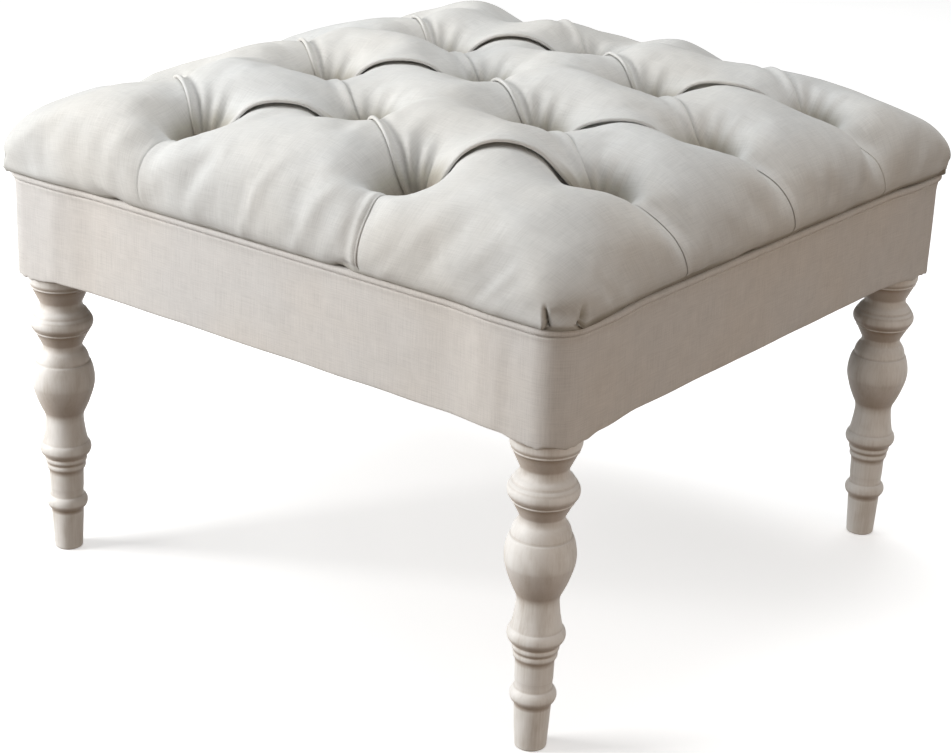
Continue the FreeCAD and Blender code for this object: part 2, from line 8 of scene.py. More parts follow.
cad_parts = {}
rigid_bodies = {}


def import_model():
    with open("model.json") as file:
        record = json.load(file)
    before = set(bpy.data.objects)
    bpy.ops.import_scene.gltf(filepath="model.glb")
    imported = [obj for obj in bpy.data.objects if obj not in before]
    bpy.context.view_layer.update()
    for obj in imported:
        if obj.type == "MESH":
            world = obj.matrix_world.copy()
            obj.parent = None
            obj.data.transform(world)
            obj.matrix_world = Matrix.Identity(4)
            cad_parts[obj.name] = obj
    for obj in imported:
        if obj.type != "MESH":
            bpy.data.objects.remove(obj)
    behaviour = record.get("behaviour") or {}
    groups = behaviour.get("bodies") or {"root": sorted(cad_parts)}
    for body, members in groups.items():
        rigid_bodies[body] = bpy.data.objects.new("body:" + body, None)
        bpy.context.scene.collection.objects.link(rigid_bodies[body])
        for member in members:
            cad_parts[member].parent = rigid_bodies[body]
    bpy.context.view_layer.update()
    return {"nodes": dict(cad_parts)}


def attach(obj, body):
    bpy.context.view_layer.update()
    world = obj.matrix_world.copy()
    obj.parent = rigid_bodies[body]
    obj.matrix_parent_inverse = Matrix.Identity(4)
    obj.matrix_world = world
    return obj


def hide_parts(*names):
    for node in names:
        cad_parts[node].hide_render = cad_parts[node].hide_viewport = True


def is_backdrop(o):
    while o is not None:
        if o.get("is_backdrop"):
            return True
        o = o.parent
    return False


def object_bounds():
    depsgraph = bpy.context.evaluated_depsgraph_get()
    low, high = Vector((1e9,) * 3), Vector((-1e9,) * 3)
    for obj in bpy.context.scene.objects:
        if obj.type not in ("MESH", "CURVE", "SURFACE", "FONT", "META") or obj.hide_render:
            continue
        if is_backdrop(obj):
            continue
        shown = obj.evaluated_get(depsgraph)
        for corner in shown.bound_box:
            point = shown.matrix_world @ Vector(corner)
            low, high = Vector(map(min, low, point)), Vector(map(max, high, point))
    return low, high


for old in list(bpy.data.objects):
    bpy.data.objects.remove(old)

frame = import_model()
nodes = frame["nodes"]
MM = 0.001
rng = np.random.default_rng(17)


# ---------------------------------------------------------------------------
# Small helpers
# ---------------------------------------------------------------------------
def smooth(x, a, b):
    """0 below a, 1 above b, with a soft start and end."""
    t = np.clip((np.asarray(x, float) - a) / (b - a), 0.0, 1.0)
    return t * t * (3 - 2 * t)


def unit(v):
    return v / np.maximum(np.linalg.norm(v, axis=-1, keepdims=True), 1e-12)


def new_object(name, verts_mm, faces, smooth_shade=True):
    me = bpy.data.meshes.new(name)
    me.from_pydata([tuple(v) for v in np.asarray(verts_mm, float) * MM], [], faces)
    me.validate()
    if smooth_shade:
        me.polygons.foreach_set("use_smooth", [True] * len(me.polygons))
    me.update()
    ob = bpy.data.objects.new(name, me)
    bpy.context.scene.collection.objects.link(ob)
    return ob


def clean(ob, dist=0.02, recalc=True):
    bm = bmesh.new()
    bm.from_mesh(ob.data)
    bmesh.ops.remove_doubles(bm, verts=bm.verts, dist=dist * MM)
    bmesh.ops.dissolve_degenerate(bm, edges=bm.edges, dist=1e-6)
    if recalc:
        bmesh.ops.recalc_face_normals(bm, faces=bm.faces)
    bm.to_mesh(ob.data)
    bm.free()
    ob.data.update()


def wavy(x, y, seed, waves, amp):
    """Soft seeded unevenness: a few sines of the given wavelengths (mm)."""
    r = np.random.default_rng(seed)
    out = np.zeros_like(np.asarray(x, float))
    for lam in waves:
        for _ in range(3):
            a = r.uniform(0, math.pi)
            ph = r.uniform(0, 2 * math.pi)
            k = 2 * math.pi / (lam * r.uniform(0.8, 1.25))
            out += np.sin(k * (x * math.cos(a) + y * math.sin(a)) + ph) / (3 * len(waves))
    return out * amp * 1.6


# ---------------------------------------------------------------------------
# Cushion: the outer form, as level outlines (half width, height, corner radius)
# ---------------------------------------------------------------------------
PROFILE = [
    (0, 462.0, 0), (60, 461.2, 57), (116, 459.0, 92), (172, 454.6, 98), (216, 448.4, 92),
    (245, 441.0, 82), (262, 433.4, 70), (276, 424.2, 58), (287, 413.8, 48), (295, 403.5, 40),
    (300, 394.5, 35), (303, 387, 32), (304.6, 380, 30), (304.7, 373, 28.5), (303.9, 366.5, 28),
    (302.0, 361.2, 28), (298.6, 358.5, 27), (293.6, 359.3, 26), (291.2, 358.2, 25),
    (290.3, 356.0, 24.6), (290.2, 350, 24.6), (290.2, 331, 24.5),
]
SEAM_AT = 16          # index of the row where the cushion meets the welt


def build_profile():
    p = np.array(PROFILE, float)
    d = np.concatenate([[0], np.cumsum(np.hypot(np.diff(p[:, 0]), np.diff(p[:, 1])))])
    seam = d[SEAM_AT]
    step = 0.25
    m = np.arange(-60, d[-1] + 30, step)
    am = np.abs(m)
    h = np.interp(am, d, p[:, 0]) * np.sign(m)
    h[am > d[-1]] = p[-1, 0]
    z = np.interp(am, d, p[:, 1])
    z[am > d[-1]] = p[-1, 1] - (am[am > d[-1]] - d[-1])
    kap = np.where(p[:, 0] > 0, p[:, 2] / np.maximum(p[:, 0], 1), 1.0)
    k = np.interp(am, d, kap)

    def blur(v, sigma):
        n = int(4 * sigma / step)
        g = np.exp(-0.5 * (np.arange(-n, n + 1) * step / sigma) ** 2)
        g /= g.sum()
        return np.convolve(np.pad(v, n, mode="edge"), g, mode="valid")

    w = smooth(m, seam - 26, seam - 8)
    hs = blur(h, 6.0) * (1 - w) + blur(h, 1.4) * w
    zs = blur(z, 6.0) * (1 - w) + blur(z, 1.4) * w
    ks = blur(k, 6.0)
    keep = (m >= 0) & (m <= d[-1])
    return m[keep], hs[keep], zs[keep], np.minimum(ks[keep], 1.0), seam, d[-1]


PM, PH, PZ, PK, SEAM, TUCK_END = build_profile()


def level_of(P):
    """Level m of each cloth point: the half width of the rounded square it lies on."""
    a = np.max(np.abs(P), axis=-1)
    b = np.min(np.abs(P), axis=-1)
    lo, hi = a.copy(), np.hypot(a, b) + 1e-9
    for _ in range(34):
        m = 0.5 * (lo + hi)
        k = np.interp(m, PM, PK)
        c = (1 - k) * m
        inside = np.where(b <= c, a <= m, np.where((a - c) ** 2 + (b - c) ** 2 <= (k * m) ** 2, a <= m, False))
        hi = np.where(inside, m, hi)
        lo = np.where(inside, lo, m)
    return hi


def env(P):
    """Cloth coordinates (mm, from the middle of the top) to the cushion's outer form."""
    P = np.asarray(P, float)
    m = level_of(P)
    h = np.interp(m, PM, PH)
    z = np.interp(m, PM, PZ)
    xy = P * (h / np.maximum(m, 1e-6))[..., None]
    t = np.min(np.abs(xy), axis=-1)
    out = 4.0 * smooth(t, 187, 237) * smooth(m, SEAM - 18, SEAM - 4)
    xy = xy * ((h + out) / np.maximum(h, 1e-6))[..., None]
    return np.concatenate([xy, z[..., None]], axis=-1)


def env_normal(P):
    d = 0.8
    ex = env(P + [d, 0]) - env(P - [d, 0])
    ey = env(P + [0, d]) - env(P - [0, d])
    n = np.cross(ex, ey)
    return unit(n)


def cloth_of(xy):
    """Cloth coordinates of the point of the outer form above a plan position."""
    P = np.array(xy, float)
    for _ in range(60):
        P = P + (np.array(xy, float) - env(P)[..., :2])
    return P


# ---------------------------------------------------------------------------
# Tufts: plan positions of the pits, and how far the folds lean from them
# ---------------------------------------------------------------------------
DX, DY = 115.0, 80.0
PIT_DEPTH = 45.0
LEAN = {(-1, -3): 1, (1, -3): 10, (-1, -1): 11, (0, -2): 13, (-1, 1): 12, (0, 0): 12, (1, -1): 12,
        (2, -2): 5, (0, 2): 7, (1, 1): 10, (2, 0): 12, (2, 2): 6}
PITS = {}
for r in range(-3, 4):
    for c in ((-1, 1) if r % 2 else (-2, 0, 2)):
        lean = LEAN.get((c, r), 5) * np.array([-0.80, -0.60])
        true = np.array([c * DX, r * DY])
        PITS[(c, r)] = {"true": true, "lean": lean, "P": cloth_of(true + lean)}

N = 60                # steps along a pleat
M = 44                # steps from an outer pit to the seam


def cluster(n, a):
    u = np.linspace(0, 1, n + 1)
    return u - a / (2 * math.pi) * np.sin(2 * math.pi * u)


TN = cluster(N, 0.74)


def one_ended(n, a):
    """Finer at 0 (pit) than at 1."""
    u = np.linspace(0, 1, n + 1)
    return (1 - a) * u + a * u * u


TM = one_ended(M, 0.42)


# Each pleat: P -> Q in cloth coordinates, the side it folds towards, and its look.
#   lift: how far the folded edge stands up      roll: radius of the folded edge
#   over: how far it reaches over                 dip: how far the other side drops under it
LOOK = {
    "ridge": dict(lift=3.6, wide=3.0, roll=1.45, over=0.6, dip=0.2, dipw=9.0, back=1.4, open=0.0, val=3.0, vald=6.6, valw=4.6, ends=(6, 18)),
    "mouth": dict(lift=7.6, wide=14.0, roll=1.4, over=2.6, dip=1.2, dipw=16.0, back=9.0, open=1.8, val=0.0, vald=1, valw=1, ends=(5, 22), own=(12, 42)),
    "groove": dict(lift=2.1, wide=4.2, roll=1.0, over=1.5, dip=2.8, dipw=8.0, back=2.8, open=0.9, val=1.1, vald=8, valw=5, ends=(5, 18)),
    "valley": dict(lift=0.9, wide=9.0, roll=1.2, over=1.0, dip=2.2, dipw=16.0, back=4.0, open=0.2, val=0.0, vald=1, valw=1, ends=(7, 24)),
    "edge": dict(lift=1.0, wide=5.0, roll=0.8, over=0.7, dip=0.7, dipw=7.0, back=3.5, open=0.0, val=0.5, vald=8, valw=3.5, ends=(9, 26)),
    "crisp": dict(lift=1.7, wide=6.5, roll=0.7, over=0.6, dip=2.6, dipw=5.5, back=3.0, open=0.4, val=0.0, vald=1, valw=1, ends=(9, 26)),
    "soft": dict(lift=0.6, wide=4.5, roll=0.24, over=0.12, dip=0.5, dipw=7.0, back=2.5, open=0.0, val=0.9, vald=9.0, valw=3.2, ends=(9, 26)),
    "band": dict(lift=1.7, wide=3.8, roll=0.6, over=0.4, dip=0.4, dipw=7.0, back=2.5, open=0.0, val=0.0, vald=1, valw=1, ends=(6, 20), peak=3.2),
}
# single pleats that stand up more or less than their kind
OWN = {
    ((1, -3), (2, -2)): dict(lift=13.2, wide=19.0, open=2.6, dip=-6.0, dipw=19.0, ends=(3, 17)),
    ((-1, -3), (0, -2)): dict(lift=12.2, wide=15.0, open=2.6, dip=-5.2, dipw=18.0, ends=(3, 15)),
    ((1, -1), (2, 0)): dict(lift=2.2, wide=17.0, dip=6.0, dipw=18.0, open=1.6, ends=(4, 16)),
    ((-1, -1), (0, 0)): dict(lift=5.8, wide=16.0, dip=0.4, dipw=18.0, open=1.6, ends=(4, 16)),
    ((-1, 1), (0, 2)): dict(dip=-1.2),
}
PLEATS = {}


def add_pleat(key, P, Q, side, look, bow=0.0, edge=False, ts=None, gain=1.0, late=0.0):
    """side: +1 if the folded edge points to the left of P->Q, -1 to the right."""
    ts = TN if ts is None else ts
    d = Q - P
    n = np.array([-d[1], d[0]]) / np.linalg.norm(d)
    curve = P + np.outer(ts, d) + np.outer(4 * ts * (1 - ts), n) * bow
    PLEATS[key] = dict(P=P, Q=Q, curve=curve, side=side, look={**LOOK[look], **OWN.get(key, {})}, ts=ts, edge=edge,
                       gain=gain, late=late)


for (c, r), pit in PITS.items():
    odd = r % 2 != 0
    q = PITS.get((c - 1, r + 1))
    if q is not None:                      # runs back and left
        if odd:
            add_pleat(((c, r), (c - 1, r + 1)), pit["P"], q["P"], +1, "ridge", bow=0.5)
        else:
            add_pleat(((c, r), (c - 1, r + 1)), pit["P"], q["P"], -1, "groove", bow=-2.0)
    q = PITS.get((c + 1, r + 1))
    if q is not None:                      # runs back and right
        if odd:
            add_pleat(((c, r), (c + 1, r + 1)), pit["P"], q["P"], -1, "mouth", bow=2.5 if (c, r) == (1, -3) else -3.0)
        else:
            add_pleat(((c, r), (c + 1, r + 1)), pit["P"], q["P"], +1, "valley", bow=2.0)

# Edge pleats: from the outer pits down to the welt. Foot positions along each side.
SCALE_SEAM = np.interp(SEAM, PM, PH) / SEAM


def seam_point(side, t):
    """Cloth point on the seam row of a side, at plan position t along it."""
    t = t / SCALE_SEAM
    return {"front": np.array([t, -SEAM]), "back": np.array([t, SEAM]),
            "right": np.array([SEAM, t]), "left": np.array([-SEAM, t])}[side]


EDGE = [
    ((-1, -3), "front", -114.0, -5.0, -1, "crisp", 0.85, 0.0),
    ((1, -3), "front", 108.5, -9.0, +1, "band", 1.0, 0.0),
    ((2, -2), "right", -142.0, 10.0, -1, "soft", 0.85, 0.85),
    ((2, 0), "right", 12.0, 5.0, -1, "soft", 1.0, 0.85),
    ((2, 2), "right", 163.0, -11.0, -1, "edge", 0.6, 0.6),
    ((-1, 3), "back", -108.0, 6.0, +1, "edge", 0.9, 0.3),
    ((1, 3), "back", 118.0, 6.0, -1, "edge", 0.9, 0.3),
    ((-2, -2), "left", -168.0, 5.0, +1, "edge", 0.9, 0.3),
    ((-2, 0), "left", -8.0, 5.0, +1, "edge", 0.9, 0.3),
    ((-2, 2), "left", 152.0, 5.0, -1, "edge", 0.9, 0.3),
]
for key, side, t, bow, fold, look, gain, late in EDGE:
    add_pleat((key, side), PITS[key]["P"], seam_point(side, t), fold, look, bow=bow, edge=True, ts=TM, gain=gain, late=late)


# ---------------------------------------------------------------------------
# Cells: each is a set of grids (cloth coordinates) with the pleats around it
# ---------------------------------------------------------------------------
def coons(bottom, top, left, right, u, v):
    """bottom/top run along u, left/right along v; ends coincide."""
    U, Vv = u[:, None, None], v[None, :, None]
    b, t, l, r = bottom[:, None], top[:, None], left[None], right[None]
    return ((1 - Vv) * b + Vv * t + (1 - U) * l + U * r
            - ((1 - U) * (1 - Vv) * bottom[0] + U * (1 - Vv) * bottom[-1]
               + (1 - U) * Vv * top[0] + U * Vv * top[-1]))


def pl(a, b):
    """Curve of the pleat between two pits, from a to b, and its key."""
    if (a, b) in PLEATS:
        return PLEATS[(a, b)]["curve"], (a, b)
    return PLEATS[(b, a)]["curve"][::-1], (b, a)


def outline(m, n=4000):
    """Closed outline of level m, as dense points, starting at the middle of the front, towards +X."""
    k = float(np.interp(m, PM, PK)) * m
    c = m - k
    pts = [np.array([[0.0, -m]])]
    for i, (cx, cy) in enumerate(((c, -c), (c, c), (-c, c), (-c, -c))):
        a = np.linspace(-math.pi / 2, 0, 60) + i * math.pi / 2
        pts.append(np.stack([cx + k * np.cos(a), cy + k * np.sin(a)], 1))
    pts.append(np.array([[0.0, -m]]))
    return np.concatenate(pts)


OUT = outline(SEAM)
OUT_L = np.concatenate([[0], np.cumsum(np.linalg.norm(np.diff(OUT, axis=0), axis=1))])


def along(P):
    """Distance along the seam outline of the nearest point to P."""
    best, at = 1e18, 0.0
    for i in range(len(OUT) - 1):
        a, b = OUT[i], OUT[i + 1]
        d = b - a
        L2 = d @ d
        t = 0.0 if L2 == 0 else min(max(((P - a) @ d) / L2, 0), 1)
        q = a + d * t
        e = (P - q) @ (P - q)
        if e < best:
            best, at = e, OUT_L[i] + t * math.sqrt(L2)
    return at


def seam_curve(s0, s1, t):
    """Points of the seam outline from s0 to s1 (wrapping), at fractions t."""
    L = OUT_L[-1]
    s = (s0 + (s1 - s0) * t) % L
    return np.stack([np.interp(s, OUT_L, OUT[:, 0]), np.interp(s, OUT_L, OUT[:, 1])], 1)


def line(a, b, t):
    return a + np.outer(t, b - a)


def corner_steps():
    """Steps from 95 mm beside the corner to the corner, closest together where the corner's fold lies."""
    t = np.linspace(0, 1, 4001)
    w = 1 + 6.5 * np.exp(-((t - 0.80) / 0.045) ** 2)
    c = np.concatenate([[0], np.cumsum((w[1:] + w[:-1]) / 2)])
    return np.interp(np.linspace(0, 1, M + 1), c / c[-1], t)


CORNER_T = corner_steps()
CELLS = []
for (c, r) in [(0, 1), (0, -1), (1, 0), (-1, 0), (1, 2), (1, -2), (-1, 2), (-1, -2)]:
    S, E, Nn, Wt = (c, r - 1), (c + 1, r), (c, r + 1), (c - 1, r)
    b, kb = pl(S, E)
    t, kt = pl(Wt, Nn)
    l, kl = pl(S, Wt)
    rr, kr = pl(E, Nn)
    CELLS.append(dict(centre=(PITS[S]["P"] + PITS[Nn]["P"]) / 2, grids=[coons(b, t, l, rr, TN, TN)],
                      pleats=[kb, kt, kl, kr]))

L_ALL = OUT_L[-1]


def border_cell(A, apex, B, sideA, sideB):
    fa, fb = PLEATS[(A, sideA)]["curve"][-1], PLEATS[(B, sideB)]["curve"][-1]
    sa, sb = along(fa), along(fb)
    if sb < sa:
        sb += L_ALL
    sm = 0.5 * (sa + sb)
    mid = seam_curve(sm, sm + 1, np.array([0.0]))[0]
    spine = line(PITS[apex]["P"], mid, TM)
    ca, ka = pl(A, apex)
    cb, kb = pl(apex, B)
    # u along the pleat, v from the pleat out to the seam
    g1 = coons(ca, seam_curve(sa, sm, TN), PLEATS[(A, sideA)]["curve"], spine, TN, TM)
    g2 = coons(cb, seam_curve(sm, sb, TN), spine, PLEATS[(B, sideB)]["curve"], TN, TM)
    CELLS.append(dict(centre=(PITS[A]["P"] + PITS[B]["P"] + mid * 0.8) / 2.8, grids=[g1, g2],
                      pleats=[ka, kb, (A, sideA), (B, sideB)]))


def corner_cell(P1, P2, side1, side2):
    """P1 then P2 in the direction of the seam outline."""
    f1, f2 = PLEATS[(P1, side1)]["curve"][-1], PLEATS[(P2, side2)]["curve"][-1]
    s1, s2 = along(f1), along(f2)
    if s2 < s1:
        s2 += L_ALL
    quarter = L_ALL / 8
    # corners of the outline lie at odd multiples of an eighth
    k = math.ceil((s1 / quarter - 1) / 2) * 2 + 1
    sk = k * quarter
    sA, sB = sk - 95.0, sk + 95.0
    c, key = pl(P1, P2)
    h = N // 2
    mid = c[h]
    A = seam_curve(sA, sA + 1, np.array([0.0]))[0]
    B = seam_curve(sB, sB + 1, np.array([0.0]))[0]
    lineA, lineB = line(mid, A, TM), line(mid, B, TM)
    th1 = TN[:h + 1] * 2
    g1 = coons(c[:h + 1], seam_curve(s1, sA, th1), PLEATS[(P1, side1)]["curve"], lineA, th1, TM)
    th2 = TN[h:] * 2 - 1
    g2 = coons(c[h:], seam_curve(sB, s2, th2), lineB, PLEATS[(P2, side2)]["curve"], th2, TM)
    # kite: from the pleat's middle to the corner
    tk = CORNER_T
    g3 = coons(lineA, seam_curve(sB, sk, tk)[::1], lineB, seam_curve(sA, sk, tk), TM, TM)
    CELLS.append(dict(centre=(mid + seam_curve(sk, sk + 1, np.array([0.0]))[0]) / 2, grids=[g1, g2, g3],
                      pleats=[key, (P1, side1), (P2, side2)], corner=True))


border_cell((-1, -3), (0, -2), (1, -3), "front", "front")
border_cell((2, -2), (1, -1), (2, 0), "right", "right")
border_cell((2, 0), (1, 1), (2, 2), "right", "right")
border_cell((1, 3), (0, 2), (-1, 3), "back", "back")
border_cell((-2, 2), (-1, 1), (-2, 0), "left", "left")
border_cell((-2, 0), (-1, -1), (-2, -2), "left", "left")
corner_cell((1, -3), (2, -2), "front", "right")
corner_cell((2, 2), (1, 3), "right", "back")
corner_cell((-1, 3), (-2, 2), "back", "left")
corner_cell((-2, -2), (-1, -3), "left", "front")


# ---------------------------------------------------------------------------
# Surface of the cover
# ---------------------------------------------------------------------------
FUNNEL = np.array([(0, 45), (9, 44.8), (12, 43.0), (15, 38.2), (18, 32.6), (22, 26.2), (27, 20.2), (33, 14.8),
                   (40, 9.9), (48, 6.0), (57, 3.1), (67, 1.3), (78, 0.4), (88, 0.0), (100, 0)], float)
DOME = 3.4            # how far a pleat's middle lies below the diamonds beside it
STEEP = np.array([0.606, -0.795])     # some pits are steeper on this side, where the foam leans over them
STEEPER = {(-1, -3): 0.42, (1, -3): 0.42}
DEEPER = {(-1, -3): 5.0, (1, -3): 5.0, (2, -2): 3.5, (2, 0): 3.5, (2, 2): 3.0, (0, -2): 3.0}


# The stuffing is not even: where the top lies lower or higher than the outer form, as soft
# round spots (place in plan, height), fitted to the outline and the crests as measured in the photograph
CROWN = [
    (-300, -300, -0.8), (-300, -270, 3.1), (-300, -240, -2.6), (-300, -210, -0.8), (-300, -180, -0.9), (-300, -150, -1.8),
    (-300, 30, 0.6), (-300, 210, -0.6), (-300, 240, -0.6), (-270, -300, -2.4), (-270, -270, -3.4), (-270, -240, -4.4),
    (-270, -210, -1.7), (-270, -180, -1.5), (-270, -150, -1.2), (-270, -90, -3.7), (-270, -60, -2.9), (-270, 60, -1.1),
    (-270, 90, -1.3), (-270, 180, -0.5), (-270, 210, -3.0), (-270, 240, -2.6), (-270, 270, -0.5), (-240, -300, -0.8),
    (-240, -270, -1.7), (-240, -240, -1.7), (-240, -210, -1.8), (-240, -180, -0.9), (-240, -120, -1.6), (-240, -90, -5.1),
    (-240, -60, -3.2), (-240, 60, -2.2), (-240, 90, -2.8), (-240, 120, -0.6), (-240, 180, -0.8), (-240, 210, -3.1),
    (-240, 240, -2.0), (-210, -240, -1.7), (-210, -210, -1.9), (-210, -180, -0.5), (-210, -60, -1.0), (-210, 60, -1.4),
    (-210, 90, -2.1), (-210, 120, -0.6), (-210, 240, 2.8), (-210, 270, 1.2), (-180, -240, -0.7), (-180, -210, -0.7),
    (-180, -30, 0.6), (-180, 210, 1.0), (-180, 240, 1.1), (-180, 270, -2.7), (-180, 300, -1.7), (-150, 240, -1.2),
    (-150, 270, -2.7), (-150, 300, -1.0), (-120, 60, -1.1), (-120, 90, -1.0), (-120, 120, -0.5), (-120, 150, -2.6),
    (-120, 180, -4.3), (-120, 240, 0.6), (-90, -270, -1.6), (-90, -240, -1.8), (-90, -210, -0.5), (-90, -150, -0.6),
    (-90, -120, -2.6), (-90, -90, -2.8), (-90, 30, -2.0), (-90, 60, -5.3), (-90, 90, -3.1), (-90, 150, -5.5), (-90, 180, -4.8),
    (-90, 210, 6.2), (-90, 240, 1.4), (-60, -270, -1.5), (-60, -240, -2.2), (-60, -210, -2.8), (-60, -180, -2.2),
    (-60, -150, -1.0), (-60, -120, -3.6), (-60, -90, -3.8), (-60, -60, -1.0), (-60, -30, -1.0), (-60, 0, -0.5),
    (-60, 30, -2.6), (-60, 60, -6.0), (-60, 90, -2.1), (-60, 150, -2.3), (-60, 180, 3.4), (-60, 210, 3.7), (-60, 240, -4.5),
    (-30, -240, -0.9), (-30, -210, -2.0), (-30, -180, -0.9), (-30, -120, -1.0), (-30, -90, -0.7), (-30, 30, -0.8),
    (-30, 60, -2.2), (-30, 90, -2.5), (-30, 120, -2.6), (-30, 150, -1.1), (-30, 180, 1.1), (-30, 210, -3.7), (-30, 240, -5.7),
    (0, -240, 0.6), (0, -210, 1.3), (0, -180, 1.2), (0, -90, -1.4), (0, -60, -2.9), (0, -30, -1.5), (0, 60, -2.5),
    (0, 90, -5.0), (0, 120, -2.9), (0, 150, -0.5), (0, 210, -3.4), (0, 240, -5.2), (0, 270, -1.7), (30, -210, 0.9),
    (30, -90, -1.3), (30, -60, -2.7), (30, -30, -1.3), (30, 60, -1.4), (30, 90, -2.7), (30, 120, -1.4), (30, 210, 0.9),
    (30, 240, 2.1), (60, -60, -0.6), (60, 210, 1.6), (60, 240, 0.6), (60, 270, -2.3), (60, 300, -0.7), (90, 240, -1.2),
    (90, 270, -1.4), (105, -262, 2.2), (120, -240, 0.3), (120, -120, -0.5), (120, -90, -1.0), (120, -60, -0.9),
    (120, 30, -1.8), (120, 60, -2.1), (120, 120, -1.0), (120, 150, -2.7), (120, 180, -4.0), (120, 210, 0.5), (150, -300, -0.6),
    (150, -262, -4.0), (150, -240, -1.4), (150, -210, 1.7), (150, -180, 0.6), (150, -120, -1.7), (150, -90, -3.4),
    (150, -60, -2.9), (150, -30, -1.0), (150, 0, -0.7), (150, 30, -3.6), (150, 60, -2.7), (150, 120, -3.4), (150, 150, -4.1),
    (150, 180, -1.5), (150, 210, 4.5), (150, 240, -1.9), (150, 270, -1.6), (180, -270, -0.6), (180, -210, 0.9),
    (180, -120, -1.3), (180, -90, -2.6), (180, -60, -1.8), (180, 30, -1.6), (180, 120, -3.3), (180, 150, -1.5),
    (180, 180, 2.1), (180, 210, -0.7), (180, 240, -6.9), (180, 270, -2.3), (210, -90, -0.8), (210, -30, 0.9), (210, 90, 0.5),
    (210, 210, -0.9), (210, 240, -1.3), (210, 270, -2.1), (210, 300, -1.1), (240, -210, 0.8), (240, -60, 0.5), (240, -30, 0.7),
    (240, 90, -0.8), (240, 120, -0.6), (240, 240, -3.6), (240, 270, -6.6), (240, 300, -2.8), (270, 90, -0.7), (270, 120, -0.7),
    (270, 210, -0.6), (270, 240, -2.1), (270, 270, -1.1), (270, 300, -1.0), (300, 240, 0.6), (300, 300, -4.3),
]
CROWN_R = 25.0


def crown(xy):
    out = np.zeros(xy.shape[:-1])
    x, y = xy[..., 0], xy[..., 1]
    lo_x, hi_x, lo_y, hi_y = x.min(), x.max(), y.min(), y.max()
    for cx, cy, h in CROWN:
        if lo_x - 90 < cx < hi_x + 90 and lo_y - 90 < cy < hi_y + 90:
            out += h * np.exp(-((x - cx) ** 2 + (y - cy) ** 2) / (2 * CROWN_R ** 2))
    return out


def nearest_on(curve, ts, P):
    """Distance from points P to a polyline, and the pleat parameter of the nearest point."""
    shape = P.shape[:-1]
    Q = P.reshape(-1, 2)
    best = np.full(len(Q), 1e18)
    at = np.zeros(len(Q))
    a, b = curve[:-1], curve[1:]
    d = b - a
    L2 = np.maximum((d * d).sum(1), 1e-12)
    for i in range(len(a)):
        t = np.clip(((Q - a[i]) @ d[i]) / L2[i], 0, 1)
        e = Q - a[i] - t[:, None] * d[i]
        q = (e * e).sum(1)
        w = q < best
        best[w] = q[w]
        at[w] = ts[i] + t[w] * (ts[i + 1] - ts[i])
    return np.sqrt(best).reshape(shape), at.reshape(shape)


def pleat_gain(pleat, at):
    """Size of the fold along a pleat: nothing at a pit's bottom or at the welt."""
    L = np.linalg.norm(pleat["Q"] - pleat["P"])
    a, b = pleat["look"]["ends"]
    g = smooth(at * L, a, b)
    if pleat["edge"]:
        g = g * smooth((1 - at) * L, 0, 16) * (1 - pleat["late"] * (1 - smooth(at, 0.22, 0.55)))
    else:
        g = g * smooth((1 - at) * L, a, b)
    return g * pleat["gain"]


def around_frame(P, m):
    """Which side a cloth point is on, and its distance along the level outline from the nearest corner."""
    ax, ay = np.abs(P[..., 0]), np.abs(P[..., 1])
    k = np.interp(m, PM, PK) * m
    c = m - k
    arc = (ax > c) & (ay > c)
    th = np.arctan2(ay - c, ax - c)
    s = np.where(arc, k * np.abs(th - math.pi / 4), k * math.pi / 4 + c - np.minimum(ax, ay))
    on_x = ax > ay
    which = np.where(on_x, np.where(P[..., 0] > 0, 1, 3), np.where(P[..., 1] > 0, 2, 0))
    return which, s, on_x


def corner_slit(which, s, up):
    """Distance from the fold beside a corner, how open it is at this height, and its half width."""
    middle = np.where(which == 1, 14.8 + 3.2 * smooth(up, 0, 14), 14.3 + 1.0 * smooth(up, 10, 24))
    return s - middle, smooth(up, 0.0, 1.5) * (1 - smooth(up, 14, 22)), np.where(which == 1, 1.9, 1.25)


# upright gathers on each side: (place along the side, height, half width)
GATHER = {
    0: [(-232, .8, 8), (-205, .8, 8), (-178, 1.0, 7), (-153, 1.1, 7), (-95, .7, 9), (-63, 1.0, 7), (-12, 1.2, 5.8), (41, 1.35, 6.2),
        (70, .8, 7), (128, 1.2, 7), (152, -1.0, 4), (182, .9, 7), (199, 1.2, 5.5), (213, 1.1, 5.5), (228, 1.0, 5.5)],
    1: [(-245, .8, 8), (-190, .6, 9), (-125, .6, 8), (-78, .9, 8), (-40, .5, 9), (40, .9, 8), (62, .8, 7), (92, .8, 8),
        (130, .6, 8), (205, .7, 8), (240, .8, 8)],
}
for k in (2, 3):
    rr = np.random.default_rng(40 + k)
    x = -262.0
    GATHER[k] = []
    while x < 240:
        x += rr.uniform(24, 52)
        GATHER[k].append((x, rr.uniform(0.6, 1.5), rr.uniform(6, 9)))
# where the cover stands off the welt and shows a dark gap: (place, depth, half width)
GAP = {0: (0.35, [(-162, 2.4, 13), (98, 2.6, 11), (-40, 0.8, 20), (205, 0.8, 14)]),
       1: (1.7, [(-250, 1.4, 22), (-120, 1.6, 26), (-60, -0.9, 20), (60, 0.9, 30), (150, -0.6, 18), (235, 1.0, 20)]),
       2: (0.6, [(-120, 1.8, 16), (40, 1.2, 25), (190, 1.6, 12)]),
       3: (0.5, [(-190, 1.6, 14), (-20, 1.4, 22), (120, 1.8, 14)])}

